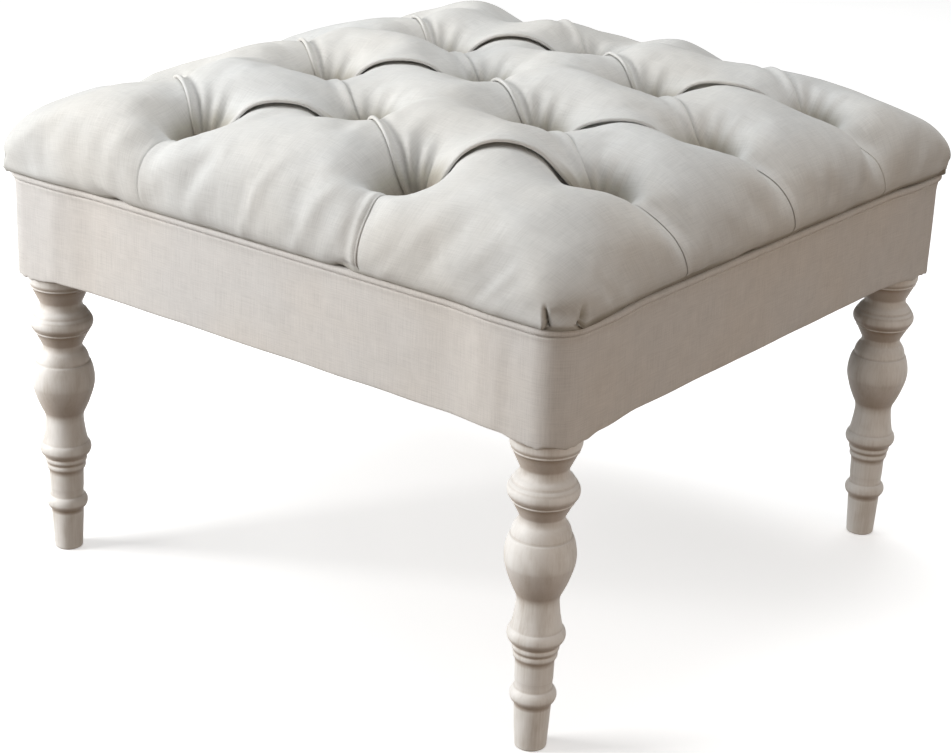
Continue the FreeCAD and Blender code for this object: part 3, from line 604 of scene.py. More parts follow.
FAN = {}              # small folds beside each pit: (first angle, last angle, period in degrees, height, reach)
r_fan = np.random.default_rng(5)
for key in PITS:
    odd = key[1] % 2 != 0
    top = 141 + r_fan.uniform(-2, 3)
    FAN[key] = [(78 if odd else 62, top, 24.5 * r_fan.uniform(0.94, 1.08), (3.0 if odd else 1.5) * r_fan.uniform(0.85, 1.15), r_fan.uniform(50, 62))]
    FAN[key].append((-170 + r_fan.uniform(-8, 8), -70, 24 * r_fan.uniform(0.9, 1.1), 0.45, 42))
    FAN[key].append((-40, 28, 22 * r_fan.uniform(0.9, 1.1), 0.5, 40))

RELAX = None          # what the cloth simulation adds, on a regular grid of cloth coordinates
RELAX_STEP = 7.0


def relaxed(P):
    if RELAX is None:
        return np.zeros(P.shape[:-1] + (3,))
    n = RELAX.shape[0]
    g = P / RELAX_STEP + (n - 1) / 2
    g = np.clip(g, 0, n - 1.001)
    i = g.astype(int)
    f = g - i
    f = f * f * (3 - 2 * f) * 0.5 + f * 0.5
    ix, iy, fx, fy = i[..., 0], i[..., 1], f[..., 0:1], f[..., 1:2]
    return (RELAX[ix, iy] * (1 - fx) * (1 - fy) + RELAX[ix + 1, iy] * fx * (1 - fy)
            + RELAX[ix, iy + 1] * (1 - fx) * fy + RELAX[ix + 1, iy + 1] * fx * fy)


def pit_drop(P):
    """Drop towards the pits, sideways lean of their bottoms, and the small folds around them."""
    drop = np.zeros(P.shape[:-1])
    back = np.zeros(P.shape[:-1] + (2,))
    folds = np.zeros(P.shape[:-1])
    for key, pit in PITS.items():
        v = P - pit["P"]
        r = np.hypot(v[..., 0], v[..., 1])
        face = np.maximum((v @ STEEP) / np.maximum(r, 1e-6), 0)
        re = r * (1 + STEEPER.get(key, 0.06) * face * smooth(r, 9, 24))
        f = np.interp(re, FUNNEL[:, 0], FUNNEL[:, 1])
        drop += f + DEEPER.get(key, 2.2) * np.exp(-((r - 25) / 11) ** 2) * (1 - smooth(face, 0.0, 0.6))
        back -= pit["lean"] * ((f / PIT_DEPTH) ** 1.5)[..., None]
        near_pit = r < 70
        if not near_pit.any():
            continue
        th = np.degrees(np.arctan2(v[..., 1], v[..., 0]))
        for a0, a1, per, hgt, reach in FAN[key]:
            x = (th - a0) % 360
            span = a1 - a0
            win = smooth(x, 0, per * 0.6) * (1 - smooth(x, span - per * 0.5, span))
            wave = -np.cos(2 * math.pi * (span - x) / per)
            wave = np.where(wave > 0, wave ** 1.0, -np.abs(wave) ** 0.75)
            folds += hgt * wave * win * smooth(r, 8, 15) * (1 - smooth(r, reach * 0.42, reach))
    return drop, back, folds


# hollows that run on from the outer pits over the edge: (middle, half length, depth, half width), from the pit
TROUGH = {((-1, -3), "front"): (38, 26, 8.5, 17), ((1, -3), "front"): (52, 22, 4.5, 15),
          ((2, -2), "right"): (56, 32, 9.0, 20), ((2, 0), "right"): (58, 32, 12.0, 20), ((2, 2), "right"): (60, 32, 13.0, 20)}
for key, p in PLEATS.items():
    if p["edge"]:
        TROUGH.setdefault(key, (50, 28, 7.5, 18))


def hollows(P):
    out = np.zeros(P.shape[:-1])
    lo, hi = P.reshape(-1, 2).min(0), P.reshape(-1, 2).max(0)
    for key, (mid, half, depth, width) in TROUGH.items():
        p = PLEATS[key]
        c = p["curve"]
        if (c.max(0) < lo - 3 * width).any() or (c.min(0) > hi + 3 * width).any():
            continue
        d, at = nearest_on(c[::3], p["ts"][::3], P)
        x = at * np.linalg.norm(p["Q"] - p["P"])
        out += depth * np.exp(-(d / width) ** 2) * np.exp(-((x - mid) / half) ** 2) * smooth(x, 0, 12)
    return out


# where the seam stands off the bead of the welt and shows a dark line: (everywhere, [(place, more, half width)])
OFF = {0: (0.0, [(-153, 2.8, 10), (91, 3.2, 8), (-40, 0.3, 20)]),
       1: (2.2, [(-262, -1.9, 20), (-222, 1.0, 14), (-50, 1.7, 20), (40, 0.5, 25), (120, 0.8, 25), (210, 0.9, 20), (-140, 0.2, 30)]),
       2: (0.7, [(-120, 0.9, 16), (90, 0.6, 25)]),
       3: (0.5, [(-190, 0.8, 14), (60, 0.9, 22)])}


def seam_off(P, m):
    which, s, on_x = around_frame(P, m)
    across = np.where(on_x, P[..., 1], P[..., 0]) * SCALE_SEAM
    out = np.zeros(P.shape[:-1])
    for k, (all_, spots) in OFF.items():
        v = np.full(out.shape, all_)
        for place, more, wid in spots:
            v += more * np.exp(-((across - place) / wid) ** 2)
        out = np.where(which == k, v, out)
    near = 1 - smooth(s, 14, 44)
    return out * (1 - near) + 0.1 * near


def surface(P, cell):
    P = np.asarray(P, float)
    base = env(P)
    nrm = env_normal(P)
    m = level_of(P)
    held = 1.0 - smooth(m, SEAM - 40, SEAM - 1)        # nothing moves where the cover is sewn to the welt
    out = np.zeros(P.shape[:-1])
    dome = np.ones(P.shape[:-1])
    for key in cell["pleats"]:
        p = PLEATS[key]
        d, at = nearest_on(p["curve"], p["ts"], P)
        dome = dome * (1 - (1 - np.clip(d / 60.0, 0, 1)) ** 2.4)
        look = p["look"]
        g = pleat_gain(p, at)
        dv = p["Q"] - p["P"]
        cv = cell["centre"] - p["P"]
        left = dv[0] * cv[1] - dv[1] * cv[0] > 0
        under = left == (p["side"] > 0)
        if under and "own" in look:        # a broad rise or hollow of the cushion that the fold lies over
            L = np.linalg.norm(dv)
            a, b = look["own"]
            out -= look["dip"] * smooth(at * L, a, b) * smooth((1 - at) * L, a, b) * np.exp(-(d / look["dipw"]) ** 2)
        elif under:
            out -= look["dip"] * g * (1 - np.clip(d / look["dipw"], 0, 1)) ** 2.2
        else:
            w = look["wide"]
            pk = look.get("peak", 0.0)
            out += look["lift"] * g * (np.exp(-((d - pk) / w) ** 2) - 0.22 * np.exp(-((d - pk - 2.1 * w) / w) ** 2))
            if look["val"]:
                deeper = 0.45 + 1.5 * np.exp(-(at * np.linalg.norm(dv) / 40.0) ** 2)
                out -= look["val"] * g * deeper * np.exp(-((d - look["vald"]) / look["valw"]) ** 2)
    out -= DOME * (1 - dome) * held
    drop, back, folds = pit_drop(P)
    out += folds
    out -= hollows(P) * smooth(SEAM - m, 2, 22)
    # soft unevenness of the stuffing
    out += wavy(P[..., 0], P[..., 1], 3, (150, 85), 1.2) * held
    out += wavy(P[..., 0], P[..., 1], 4, (38,), 0.22) * held
    # gathers: upright soft ridges on the sides
    which, s, on_x = around_frame(P, m)
    up = SEAM - m
    side = (1 - smooth(up, 48, 98)) * smooth(up, 1, 9)
    across = np.where(on_x, P[..., 1], P[..., 0]) * SCALE_SEAM
    ridge = np.zeros(P.shape[:-1])
    gap = np.zeros(P.shape[:-1])
    for k in range(4):
        w = which == k
        x = across[w]
        v = np.zeros(x.shape)
        sgn = 1 if k in (0, 1) else -1
        for place, hgt, wid in GATHER[k]:
            v += hgt * np.exp(-((x - place - sgn * 0.30 * up[w]) / wid) ** 2) - hgt * 0.12 * np.exp(-((x - place - sgn * 0.30 * up[w] - 2 * wid) / wid) ** 2)
        ridge[w] = v
        lvl, spots = GAP[k]
        q = np.full(x.shape, lvl)
        for place, depth, wid in spots:
            q += depth * np.exp(-((x - place) / wid) ** 2)
        gap[w] = q
    out += 1.15 * (ridge - 0.25) * side * smooth(s, 28, 50)
    out -= np.maximum(gap, 0) * np.exp(-((up - 6.2) / 3.4) ** 2) * smooth(up, 0.2, 3.0) * smooth(s, 16, 34)
    # corners: the spare cloth folded in from both sides over a narrow tab
    slit, tall, broad = corner_slit(which, s, up)
    out -= 7.5 * np.exp(-(slit / broad) ** 2) * tall
    out += 1.1 * np.exp(-((slit - 2.6) / 2.4) ** 2) * tall
    out -= 2.4 * (1 - smooth(slit, -2.0, 0.4)) * smooth(up, 0, 4) * (1 - smooth(up, 6, 26))
    # the two rear corners are pulled in further under the roll
    out -= 5.2 * (1 - smooth(s, 20, 46)) * smooth(P[..., 1], 80, 200) * smooth(up, 0, 2.5) * (1 - smooth(up, 3, 21))
    pos = base + nrm * out[..., None]
    pos[..., 2] += seam_off(P, m) * (1 - smooth(up, 1, 13))
    pos[..., 2] -= drop
    pos[..., :2] += back
    pos[..., 2] += crown(pos[..., :2]) * smooth(up, 2, 26)
    return pos + relaxed(P)


# ---------------------------------------------------------------------------
# Cloth simulation of the stuffed cover between its pleats: the pits, the pleat lines
# and the seam are held, the rest swells under pressure with a little spare cloth
# ---------------------------------------------------------------------------
def relax(cap=6.0):
    n = int(SEAM // RELAX_STEP) + 2
    ax = np.arange(-n, n + 1) * RELAX_STEP
    X, Y = np.meshgrid(ax, ax, indexing="ij")
    P = np.stack([X, Y], -1)
    m = level_of(P)
    used = m <= SEAM - 2
    d_all = np.full(P.shape[:-1], 1e9)
    dome = np.ones(P.shape[:-1])
    for p in PLEATS.values():
        d, at = nearest_on(p["curve"][::4], p["ts"][::4], P)
        d_all = np.minimum(d_all, d)
        dome = dome * (1 - (1 - np.clip(d / 60.0, 0, 1)) ** 2.4)
    held = 1.0 - smooth(m, SEAM - 40, SEAM - 1)
    drop, back, folds = pit_drop(P)
    pos = env(P) + env_normal(P) * (folds * 0.6 - hollows(P) * smooth(SEAM - m, 2, 22) - DOME * (1 - dome) * held)[..., None]
    pos[..., 2] -= drop
    pos[..., :2] += back
    rp = np.min([np.hypot(*np.moveaxis(P - q["P"], -1, 0)) for q in PITS.values()], axis=0)
    pin = np.maximum.reduce([1 - smooth(d_all, 3, 13), 1 - smooth(rp, 16, 26), smooth(m, SEAM - 18, SEAM - 6)])
    index = -np.ones(P.shape[:-1], int)
    index[used] = np.arange(used.sum())
    faces = []
    k = len(ax)
    for i in range(k - 1):
        for j in range(k - 1):
            q = (index[i, j], index[i + 1, j], index[i + 1, j + 1], index[i, j + 1])
            if min(q) >= 0:
                faces.append(tuple(int(v) for v in q))
    ob = new_object("cover_relax", pos[used], faces)
    grp = ob.vertex_groups.new(name="held")
    pv = pin[used]
    for lev in np.unique(np.round(pv, 2)):
        ids = np.nonzero(np.round(pv, 2) == lev)[0]
        if lev > 0:
            grp.add([int(v) for v in ids], float(lev), "REPLACE")
    md = ob.modifiers.new("Cloth", "CLOTH")
    cs = md.settings
    cs.quality = 5
    cs.mass = 0.3
    cs.tension_stiffness = 14
    cs.compression_stiffness = 10
    cs.shear_stiffness = 5
    cs.bending_stiffness = 1.2
    cs.air_damping = 2.0
    cs.vertex_group_mass = "held"
    cs.pin_stiffness = 1.0
    cs.shrink_min = -0.02
    cs.use_pressure = True
    cs.uniform_pressure_force = 4.0
    cs.effector_weights.gravity = 0.0
    md.collision_settings.use_collision = False
    sc = bpy.context.scene
    for f in range(1, 21):
        sc.frame_set(f)
    dg = bpy.context.evaluated_depsgraph_get()
    ev = ob.evaluated_get(dg)
    co = np.empty(len(ob.data.vertices) * 3)
    ev.data.vertices.foreach_get("co", co)
    moved = co.reshape(-1, 3) / MM - pos[used]
    sc.frame_set(1)
    bpy.data.objects.remove(ob)
    L = np.linalg.norm(moved, axis=1, keepdims=True)
    moved = moved * np.minimum(1.0, cap / np.maximum(L, 1e-9))
    out = np.zeros(P.shape[:-1] + (3,))
    out[used] = moved * (1 - pv[:, None])
    for _ in range(2):
        pad = np.pad(out, ((1, 1), (1, 1), (0, 0)))
        out = 0.5 * out + 0.125 * (pad[:-2, 1:-1] + pad[2:, 1:-1] + pad[1:-1, :-2] + pad[1:-1, 2:])
    return out, float(L.max()), float(L.mean())


RELAX, most, mean = relax()
print("relax: largest move %.2f mm, mean %.2f mm" % (most, mean))

# ---------------------------------------------------------------------------
# Build the cover: grids of the cells, folds between them, and the tucked edge
# ---------------------------------------------------------------------------
V_ALL, F_ALL, C_ALL = [], [], []


def add_grid(pos, cloth):
    base = sum(len(v) for v in V_ALL)
    nu, nv = pos.shape[:2]
    V_ALL.append(pos.reshape(-1, 3))
    C_ALL.append(cloth.reshape(-1, 2))
    i, j = np.meshgrid(np.arange(nu - 1), np.arange(nv - 1), indexing="ij")
    a = base + i * nv + j
    F_ALL.append(np.stack([a, a + nv, a + nv + 1, a + 1], -1).reshape(-1, 4))


TUCK_M = np.concatenate([np.linspace(SEAM, TUCK_END - 20, 8), np.linspace(TUCK_END - 20, TUCK_END, 4)[1:]])


def tuck(curve):
    rows, cl = [], []
    off = seam_off(curve, np.full(len(curve), SEAM))
    for m in TUCK_M:
        P = curve * (m / SEAM)
        row = env(P)
        row[:, 2] += off * (1 - smooth(m - SEAM, 3.5, 8.5))
        rows.append(row)
        cl.append(P)
    end = rows[-1]
    inner = end * np.array([1 - 1.1 / 290, 1 - 1.1 / 290, 1])
    up = inner.copy(); up[:, 2] = 340
    top = inner.copy(); top[:, 2] = 356.4
    for q, f in ((inner, 1.0), (up, 1.0), (top, 1.0), (top, 0.93), (top, 0.6), (top, 0.3), (top, 0.0)):
        rows.append(q * np.array([f, f, 1]))
        cl.append(cl[-1])
    add_grid(np.stack(rows, 1), np.stack(cl, 1))


for cell in CELLS:
    for k, g in enumerate(cell["grids"]):
        pos = surface(g, cell)
        add_grid(pos, g)
        if len(cell["grids"]) > 1:
            if k < 2:
                tuck(g[:, -1])
            else:
                tuck(g[:, -1])
                tuck(g[-1, :])

for key, p in PLEATS.items():
    around = [c for c in CELLS if key in c["pleats"]]
    dv = p["Q"] - p["P"]
    left = [c for c in around if dv[0] * (c["centre"] - p["P"])[1] - dv[1] * (c["centre"] - p["P"])[0] > 0][0]
    right = [c for c in around if c is not left][0]
    under, over = (left, right) if p["side"] > 0 else (right, left)
    O, U = surface(p["curve"], over), surface(p["curve"], under)
    T = unit(np.gradient(O, axis=0))
    nrm = env_normal(p["curve"])
    Nn = unit(nrm - (nrm * T).sum(1, keepdims=True) * T)
    e = np.cross(Nn, T)
    nl = np.array([-dv[1], dv[0], 0]) * p["side"]
    e = e * np.sign(e @ nl)[:, None]
    g = pleat_gain(p, p["ts"])
    k = p["look"]
    R, ov, bk, op = k["roll"], k["over"], k["back"], k["open"]
    # the fold's size wanders a little along its length
    wob = 1 + 0.12 * np.sin(np.linspace(0, 5.0, len(g)) + sum(map(ord, str(key))) % 7)
    sec = [(0.0, 0.0), (ov * 0.55, 0.12)]
    for a in np.linspace(90, -90, 9):
        sec.append((ov + R * math.cos(math.radians(a)), -R + R * math.sin(math.radians(a))))
    sec += [(ov - bk * 0.4, -2 * R - 0.25 * op), (-bk * 0.8, -2 * R - 0.8 * op), (-bk - 0.5, -2 * R - op - 0.35),
            (-bk - 0.3, -2 * R - op - 0.8)]
    rows = [O + e * (g * wob * s)[:, None] + Nn * (g * wob * t)[:, None] for s, t in sec]
    last = rows[-1]
    for f in (0.33, 0.66):
        rows.append(last * (1 - f) + U * f)
    rows.append(U)
    rows[0] = O
    pos = np.stack(rows, 1)
    n2 = nl[:2] / np.linalg.norm(nl[:2])
    cloth = p["curve"][:, None, :] + np.linspace(0, 22, len(rows))[None, :, None] * n2
    cloth[:, -1] = p["curve"]
    add_grid(pos, cloth)

cover_v = np.concatenate(V_ALL)
cover_f = np.concatenate(F_ALL)
cover_c = np.concatenate(C_ALL)
cushion = new_object("tufted_cushion", cover_v, [tuple(int(i) for i in f) for f in cover_f])
att = cushion.data.attributes.new("cloth", "FLOAT_VECTOR", "POINT")
att.data.foreach_set("vector", np.concatenate([cover_c * MM, np.zeros((len(cover_c), 1))], 1).astype(np.float32).ravel())
# painted shade: a mask that darkens the linen's colour deep in the pits, along the seam just above the welt and in the
# corner slits, where shadow falls
shade_paint = cushion.data.attributes.new("hollow", "FLOAT", "POINT")
up_c = SEAM - level_of(cover_c)
deep = smooth(pit_drop(cover_c)[0], 12, 44)
low = (1 - smooth(up_c, 0.5, 7.0)) * 0.8
side_c, s_c, _ = around_frame(cover_c, level_of(cover_c))
slit_c, tall_c, broad_c = corner_slit(side_c, s_c, up_c)
nip = np.exp(-(slit_c / (1.1 * broad_c)) ** 2) * tall_c
nip = np.maximum(nip, 0.90 * (side_c == 1) * smooth(s_c, 9, 20) * (1 - smooth(up_c, 2.5, 8.5)))
deepest = 0.4 * smooth(pit_drop(cover_c)[0], 14, 33)
shade_paint.data.foreach_set("value", np.maximum(0.6 * np.maximum(deep, low) + deepest, nip).astype(np.float32))
clean(cushion, 0.03)


def trim(ob, area=0.3e-6):
    """Drops the slivers left under the buttons, where several folds end in one pit."""
    bm = bmesh.new()
    bm.from_mesh(ob.data)
    for _ in range(5):
        bad = []
        for f in bm.faces:
            if f.calc_area() < area and any(len(e.link_faces) > 2 for e in f.edges):
                others = [g.calc_area() for e in f.edges if len(e.link_faces) > 2 for g in e.link_faces if g != f]
                if sorted(others)[0] >= f.calc_area():
                    bad.append(f)
        if not bad:
            break
        bmesh.ops.delete(bm, geom=bad, context="FACES")
    alone = [f for f in bm.faces if all(len(e.link_faces) < 2 for e in f.edges)]
    if alone:
        bmesh.ops.delete(bm, geom=alone, context="FACES")
    bm.to_mesh(ob.data)
    bm.free()
    ob.data.update()


trim(cushion)


# ---------------------------------------------------------------------------
# Frame outline seen from above, o mm outside the rails: straight along the rails,
# 4 mm further out over the leg blocks, round at the corners
# ---------------------------------------------------------------------------
RAIL, BLOCK_R, TURN = 289.0, 22.0, 271.0
T_SIDE = np.concatenate([np.arange(-271, -180, 1.75), np.arange(-180, 180, 4.0), np.arange(180, 271, 1.75)])
PHI = np.radians(np.linspace(-90, 0, 32))[:-1]
COL_T = np.concatenate([T_SIDE, np.full(len(PHI), 271.0)])
COL_PHI = np.concatenate([np.full(len(T_SIDE), -math.pi / 2), PHI])
COL_ARC = np.concatenate([np.zeros(len(T_SIDE), bool), np.ones(len(PHI), bool)])
NSIDE = len(COL_T)
TT = np.tile(COL_T, 4)
PP = np.tile(COL_PHI, 4)
ARC = np.tile(COL_ARC, 4)
SIDE = np.repeat(np.arange(4), NSIDE)          # 0 front, 1 right, 2 back, 3 left


def frame_points(o):
    """Plan points of all columns at o (number or one value a column) outside the frame."""
    o = np.broadcast_to(np.asarray(o, float), TT.shape)
    y = -(RAIL + o + 4.0 * smooth(np.abs(TT), 187, 237))
    R = BLOCK_R + o
    ax, ay = TURN + R * np.cos(PP), -TURN + R * np.sin(PP)
    x = np.where(ARC, ax, TT)
    y = np.where(ARC, ay, y)
    c, s = np.array([1, 0, -1, 0])[SIDE], np.array([0, 1, 0, -1])[SIDE]
    return np.stack([x * c - y * s, x * s + y * c], -1)


def path_length(o):
    p = frame_points(o)
    d = np.linalg.norm(np.roll(p, -1, axis=0) - p, axis=1)
    return np.concatenate([[0], np.cumsum(d)[:-1]]), d.sum()


FRAME_S, FRAME_LEN = path_length(4.7)


def line_noise(s, seed, lam, amp):
    """Seeded unevenness along the closed frame line."""
    r = np.random.default_rng(seed)
    out = np.zeros_like(s)
    for _ in range(5):
        n = max(1, round(FRAME_LEN / (lam * r.uniform(0.6, 1.6))))
        out += np.sin(2 * math.pi * n * s / FRAME_LEN + r.uniform(0, 6.28)) / 5
    return out * amp * 1.8


def band_mesh(name, rows, clothrows, closed=True, dist=0.01):
    """rows: list of (o, z) per column; clothrows: cloth coordinate across the rows."""
    n = len(TT)
    pts, cl = [], []
    for (o, z), c in zip(rows, clothrows):
        p = frame_points(o)
        pts.append(np.concatenate([p, np.broadcast_to(np.asarray(z, float), (n,))[:, None]], 1))
        cl.append(np.stack([FRAME_S, np.full(n, c, float) if np.isscalar(c) else c], 1))
    pts, cl = np.stack(pts, 1), np.stack(cl, 1)
    k = pts.shape[1]
    faces = []
    for i in range(n):
        j = (i + 1) % n
        for a in range(k if closed else k - 1):
            b = (a + 1) % k
            faces.append((i * k + a, j * k + a, j * k + b, i * k + b))
    ob = new_object(name, pts.reshape(-1, 3), faces)
    att = ob.data.attributes.new("cloth", "FLOAT_VECTOR", "POINT")
    c3 = np.concatenate([cl.reshape(-1, 2) * MM, np.zeros((n * k, 1))], 1)
    att.data.foreach_set("vector", c3.astype(np.float32).ravel())
    clean(ob, dist)
    return ob


# ---------------------------------------------------------------------------
# Apron: the cloth band, folded over its card at the top, dropped over the leg
# blocks at the corners and turned in underneath
# ---------------------------------------------------------------------------
at = np.abs(TT)
end = np.where(TT < 0, 0, 1)
DROP = {(0, 0): (232, 259), (0, 1): (244, 263), (1, 0): (243, 264), (1, 1): (224, 257),
        (2, 0): (226, 257), (2, 1): (218, 256), (3, 0): (230, 258), (3, 1): (228, 258)}
da = np.array([DROP[(int(s), int(e))][0] for s, e in zip(SIDE, end)], float)
db = np.array([DROP[(int(s), int(e))][1] for s, e in zip(SIDE, end)], float)
low_at = np.where(ARC, 1.0, smooth((at - da) / (db - da), 0, 1))
Z_LOW = 268.0 - 3.2 * low_at
Z_LOW = Z_LOW + line_noise(FRAME_S, 61, 90, 0.25) * (1 - low_at)
# the cut edge is a little ragged where it is tucked in around the turning
fray = np.zeros(len(FRAME_S))
for knots, amp in ((5.5, 0.60), (2.7, 0.34)):
    n_k = int(FRAME_LEN / knots)
    val = np.random.default_rng(62 + n_k).normal(0, amp, n_k)
    fray += np.interp(FRAME_S, np.linspace(0, FRAME_LEN, n_k + 1), np.append(val, val[0]))
Z_LOW = Z_LOW + fray * smooth(low_at, 0.7, 1.0)

# how far the cloth goes in underneath: to the rail's inside, or up to the turning of the leg
b_ = 6 * np.cos(PP) - 6 * np.sin(PP)
reach_arc = -b_ + np.sqrt(b_ ** 2 - (72 - 27.9 ** 2)) - 22
h_turn = 265 + np.sqrt(np.maximum(27.9 ** 2 - (at - 265) ** 2, 0)) - (RAIL + 4)
reach = np.where(ARC, reach_arc, np.where(at > 259, h_turn, np.where(at > 237, 0.35, -15.0)))
k_ = np.ones(7) / 7
reach = np.convolve(np.concatenate([reach[-3:], reach, reach[:3]]), k_, mode="valid")
reach = np.where((at > 236) & ~ARC & (at < 258), np.maximum(reach, 0.2), reach)

# soft upright creases, most of them near the corners and on the right side
CREASE = [(1, -243, 0.75, 6), (1, -226, 0.5, 7), (1, -205, 0.45, 9), (1, -150, 0.3, 10), (1, 60, 0.3, 12), (1, 190, 0.35, 8),
          (1, 228, 0.5, 7), (0, 240, 0.55, 7), (0, 222, 0.35, 9), (0, -236, 0.4, 8), (0, 20, 0.2, 14), (2, -230, 0.5, 7),
          (2, 90, 0.25, 12), (2, 236, 0.5, 7), (3, -232, 0.5, 8), (3, 40, 0.25, 12), (3, 238, 0.5, 7)]


def crease(z):
    out = line_noise(FRAME_S, 71, 160, 0.30) + line_noise(FRAME_S + 0.35 * z, 72, 46, 0.10)
    for s_, t_, a_, w_ in CREASE:
        d = np.where((SIDE == s_) & ~ARC, TT - t_ - 0.06 * (z - 310), 1e3)
        out = out + a_ * (np.exp(-(d / w_) ** 2) - 0.5 * np.exp(-((d - 1.7 * w_) / w_) ** 2))
    # over the leg block the cloth is drawn round the corner
    deg = np.degrees(PP) + 45
    arcw = np.where(ARC, np.exp(-((deg - 24) / 9) ** 2) - 0.6 * np.exp(-((deg - 2) / 8) ** 2), 0)
    out = out + 0.35 * arcw
    return out * smooth(350.5 - z, 0, 10) * smooth(z - Z_LOW, 0, 9)


def creased(o, z):
    return (o + crease(np.broadcast_to(np.asarray(z, float), TT.shape)), z)


rows, cl = [], []
top = [(3.3, 351.3), (3.65, 351.8), (4.2, 351.95), (4.75, 351.7), (5.15, 351.1), (5.3, 350.3), (5.2, 349.3), (4.95, 348.0), (4.8, 346.5)]
for o, z in top:
    rows.append((o, z)); cl.append(z)
for f in np.linspace(0, 1, 31)[1:]:
    z = 346.5 * (1 - f) + (Z_LOW + 3.0) * f
    rows.append(creased(4.7 + 0.25 * math.sin(math.pi * f), z)); cl.append(z)
for o, dz in ((4.62, 2.0), (4.4, 1.1), (3.9, 0.4), (3.2, 0.08), (2.4, 0.0)):
    rows.append((o, Z_LOW + dz)); cl.append(Z_LOW + dz - (4.7 - o) * 0.5)
inner_reach = np.minimum(reach, 1.6)
for f in (0.25, 0.5, 0.75, 1.0):
    rows.append((2.4 * (1 - f) + inner_reach * f, Z_LOW + 0.02 + 0.03 * f)); cl.append(262 - 18 * f)
for f in (1.0, 0.6, 0.2):
    rows.append((2.4 * (1 - f) + inner_reach * f, Z_LOW + 1.08)); cl.append(262 - 18 * f)
rows.append((3.0, Z_LOW + 1.25)); cl.append(265)
rows.append((3.5, Z_LOW + 2.0)); cl.append(266)
for f in np.linspace(0, 1, 12):
    z = (Z_LOW + 4.0) * (1 - f) + 346.0 * f
    rows.append(creased(3.55, z)); cl.append(z)
rows.append((3.5, 350.0)); cl.append(350)
apron = band_mesh("apron_linen", rows, cl)


# ---------------------------------------------------------------------------
# Welt: cord in a tube of the same cloth, with its flange behind the band
# ---------------------------------------------------------------------------
rows, cl = [], []
rad = 3.36 + line_noise(FRAME_S, 81, 60, 0.06) + line_noise(FRAME_S, 82, 14, 0.04)
for z in (340.6, 348.0, 354.6):
    rows.append((1.25, z)); cl.append(z - 354.6)
for a in np.linspace(178, -130, 26):
    rows.append((4.65 + rad * math.cos(math.radians(a)), 355.5 + rad * math.sin(math.radians(a))))
    cl.append(3.4 * math.radians(180 - a))
for z in (352.3, 348.0, 340.6):
    rows.append((2.5, z)); cl.append(18.4 + 352.6 - z)
for z in (340.6, 348.0, 353.0):
    rows.append((1.98, z)); cl.append(18.4 + 352.6 - z)
for a in np.linspace(-128, 172, 18):
    rows.append((4.65 + 2.37 * math.cos(math.radians(a)), 355.5 + 2.37 * math.sin(math.radians(a))))
    cl.append(3.4 * math.radians(180 - a))
for z in (353.8, 348.0, 340.6):
    rows.append((1.8, z)); cl.append(z - 354.6)
welt = band_mesh("welt_linen", rows, cl)


# ---------------------------------------------------------------------------
# Legs: one fine lathe profile, its square shoulder and block
# ---------------------------------------------------------------------------
LEG_SEGMENTS = [
    ("A", (12.35, .45), (12.75, 1.5)), ("L", (14.5, 35.2)), ("L", (14.5, 38.6)), ("L", (15.2, 39.4)),
    ("A", (18.4, 45.8), (15.9, 51.6)), ("L", (15, 52.3)), ("A", (14.75, 54.8), (15.1, 60)), ("L", (15.4, 75.8)),
    ("L", (16.2, 78)), ("A", (17.5, 80.9), (16.9, 83.9)), ("L", (17.3, 84.7)), ("A", (18.7, 87.3), (18.2, 90.3)),
    ("L", (18.6, 91.2)), ("A", (22.9, 98.3), (20.9, 104)), ("L", (20.2, 104.6)), ("A", (18, 115.5), (16.8, 126.5)),
    ("A", (17.2, 131.1), (18.9, 135.4)), ("A", (23.9, 147.4), (27.2, 158.7)), ("A", (27.8, 165.4), (27.1, 172.3)),
    ("A", (26.1, 177.0), (24.5, 181.4)),
    ("L", (23.5, 181.8)), ("L", (23.3, 182.9)), ("A", (22.2, 188.0), (19.4, 192.8)), ("A", (17.7, 196.6), (18.4, 199.8)),
    ("L", (23.6, 209.9)), ("L", (24.0, 210.1)), ("A", (24.45, 210.8), (24.35, 211.6)), ("L", (24.5, 212.1)),
    ("A", (27.1, 215.4), (27.85, 218.2)), ("A", (27.7, 220.8), (26.7, 223.2)), ("L", (25.4, 225.6)), ("L", (24.5, 226.0)),
    ("L", (24.2, 227.2)), ("L", (22.3, 230.0)), ("A", (18.9, 235.2), (20.0, 240.2)), ("L", (25.4, 251.9)), ("L", (25.8, 252.1)),
    ("A", (26.25, 252.8), (26.15, 253.6)), ("L", (26.2, 254.1)), ("A", (27.2, 256.0), (27.6, 258.4)), ("L", (27.6, 262.6)),
]


def arc_points(a, via, b, n):
    (x1, y1), (x2, y2), (x3, y3) = a, via, b
    d = 2 * (x1 * (y2 - y3) + x2 * (y3 - y1) + x3 * (y1 - y2))
    ux = ((x1 ** 2 + y1 ** 2) * (y2 - y3) + (x2 ** 2 + y2 ** 2) * (y3 - y1) + (x3 ** 2 + y3 ** 2) * (y1 - y2)) / d
    uy = ((x1 ** 2 + y1 ** 2) * (x3 - x2) + (x2 ** 2 + y2 ** 2) * (x1 - x3) + (x3 ** 2 + y3 ** 2) * (x2 - x1)) / d
    R = math.hypot(x1 - ux, y1 - uy)
    a1, am, a3 = (math.atan2(y - uy, x - ux) for x, y in (a, via, b))
    two = 2 * math.pi
    span = (a3 - a1) % two
    if (am - a1) % two > span:
        span -= two
    return [(ux + R * math.cos(a1 + span * i / n), uy + R * math.sin(a1 + span * i / n)) for i in range(1, n + 1)]


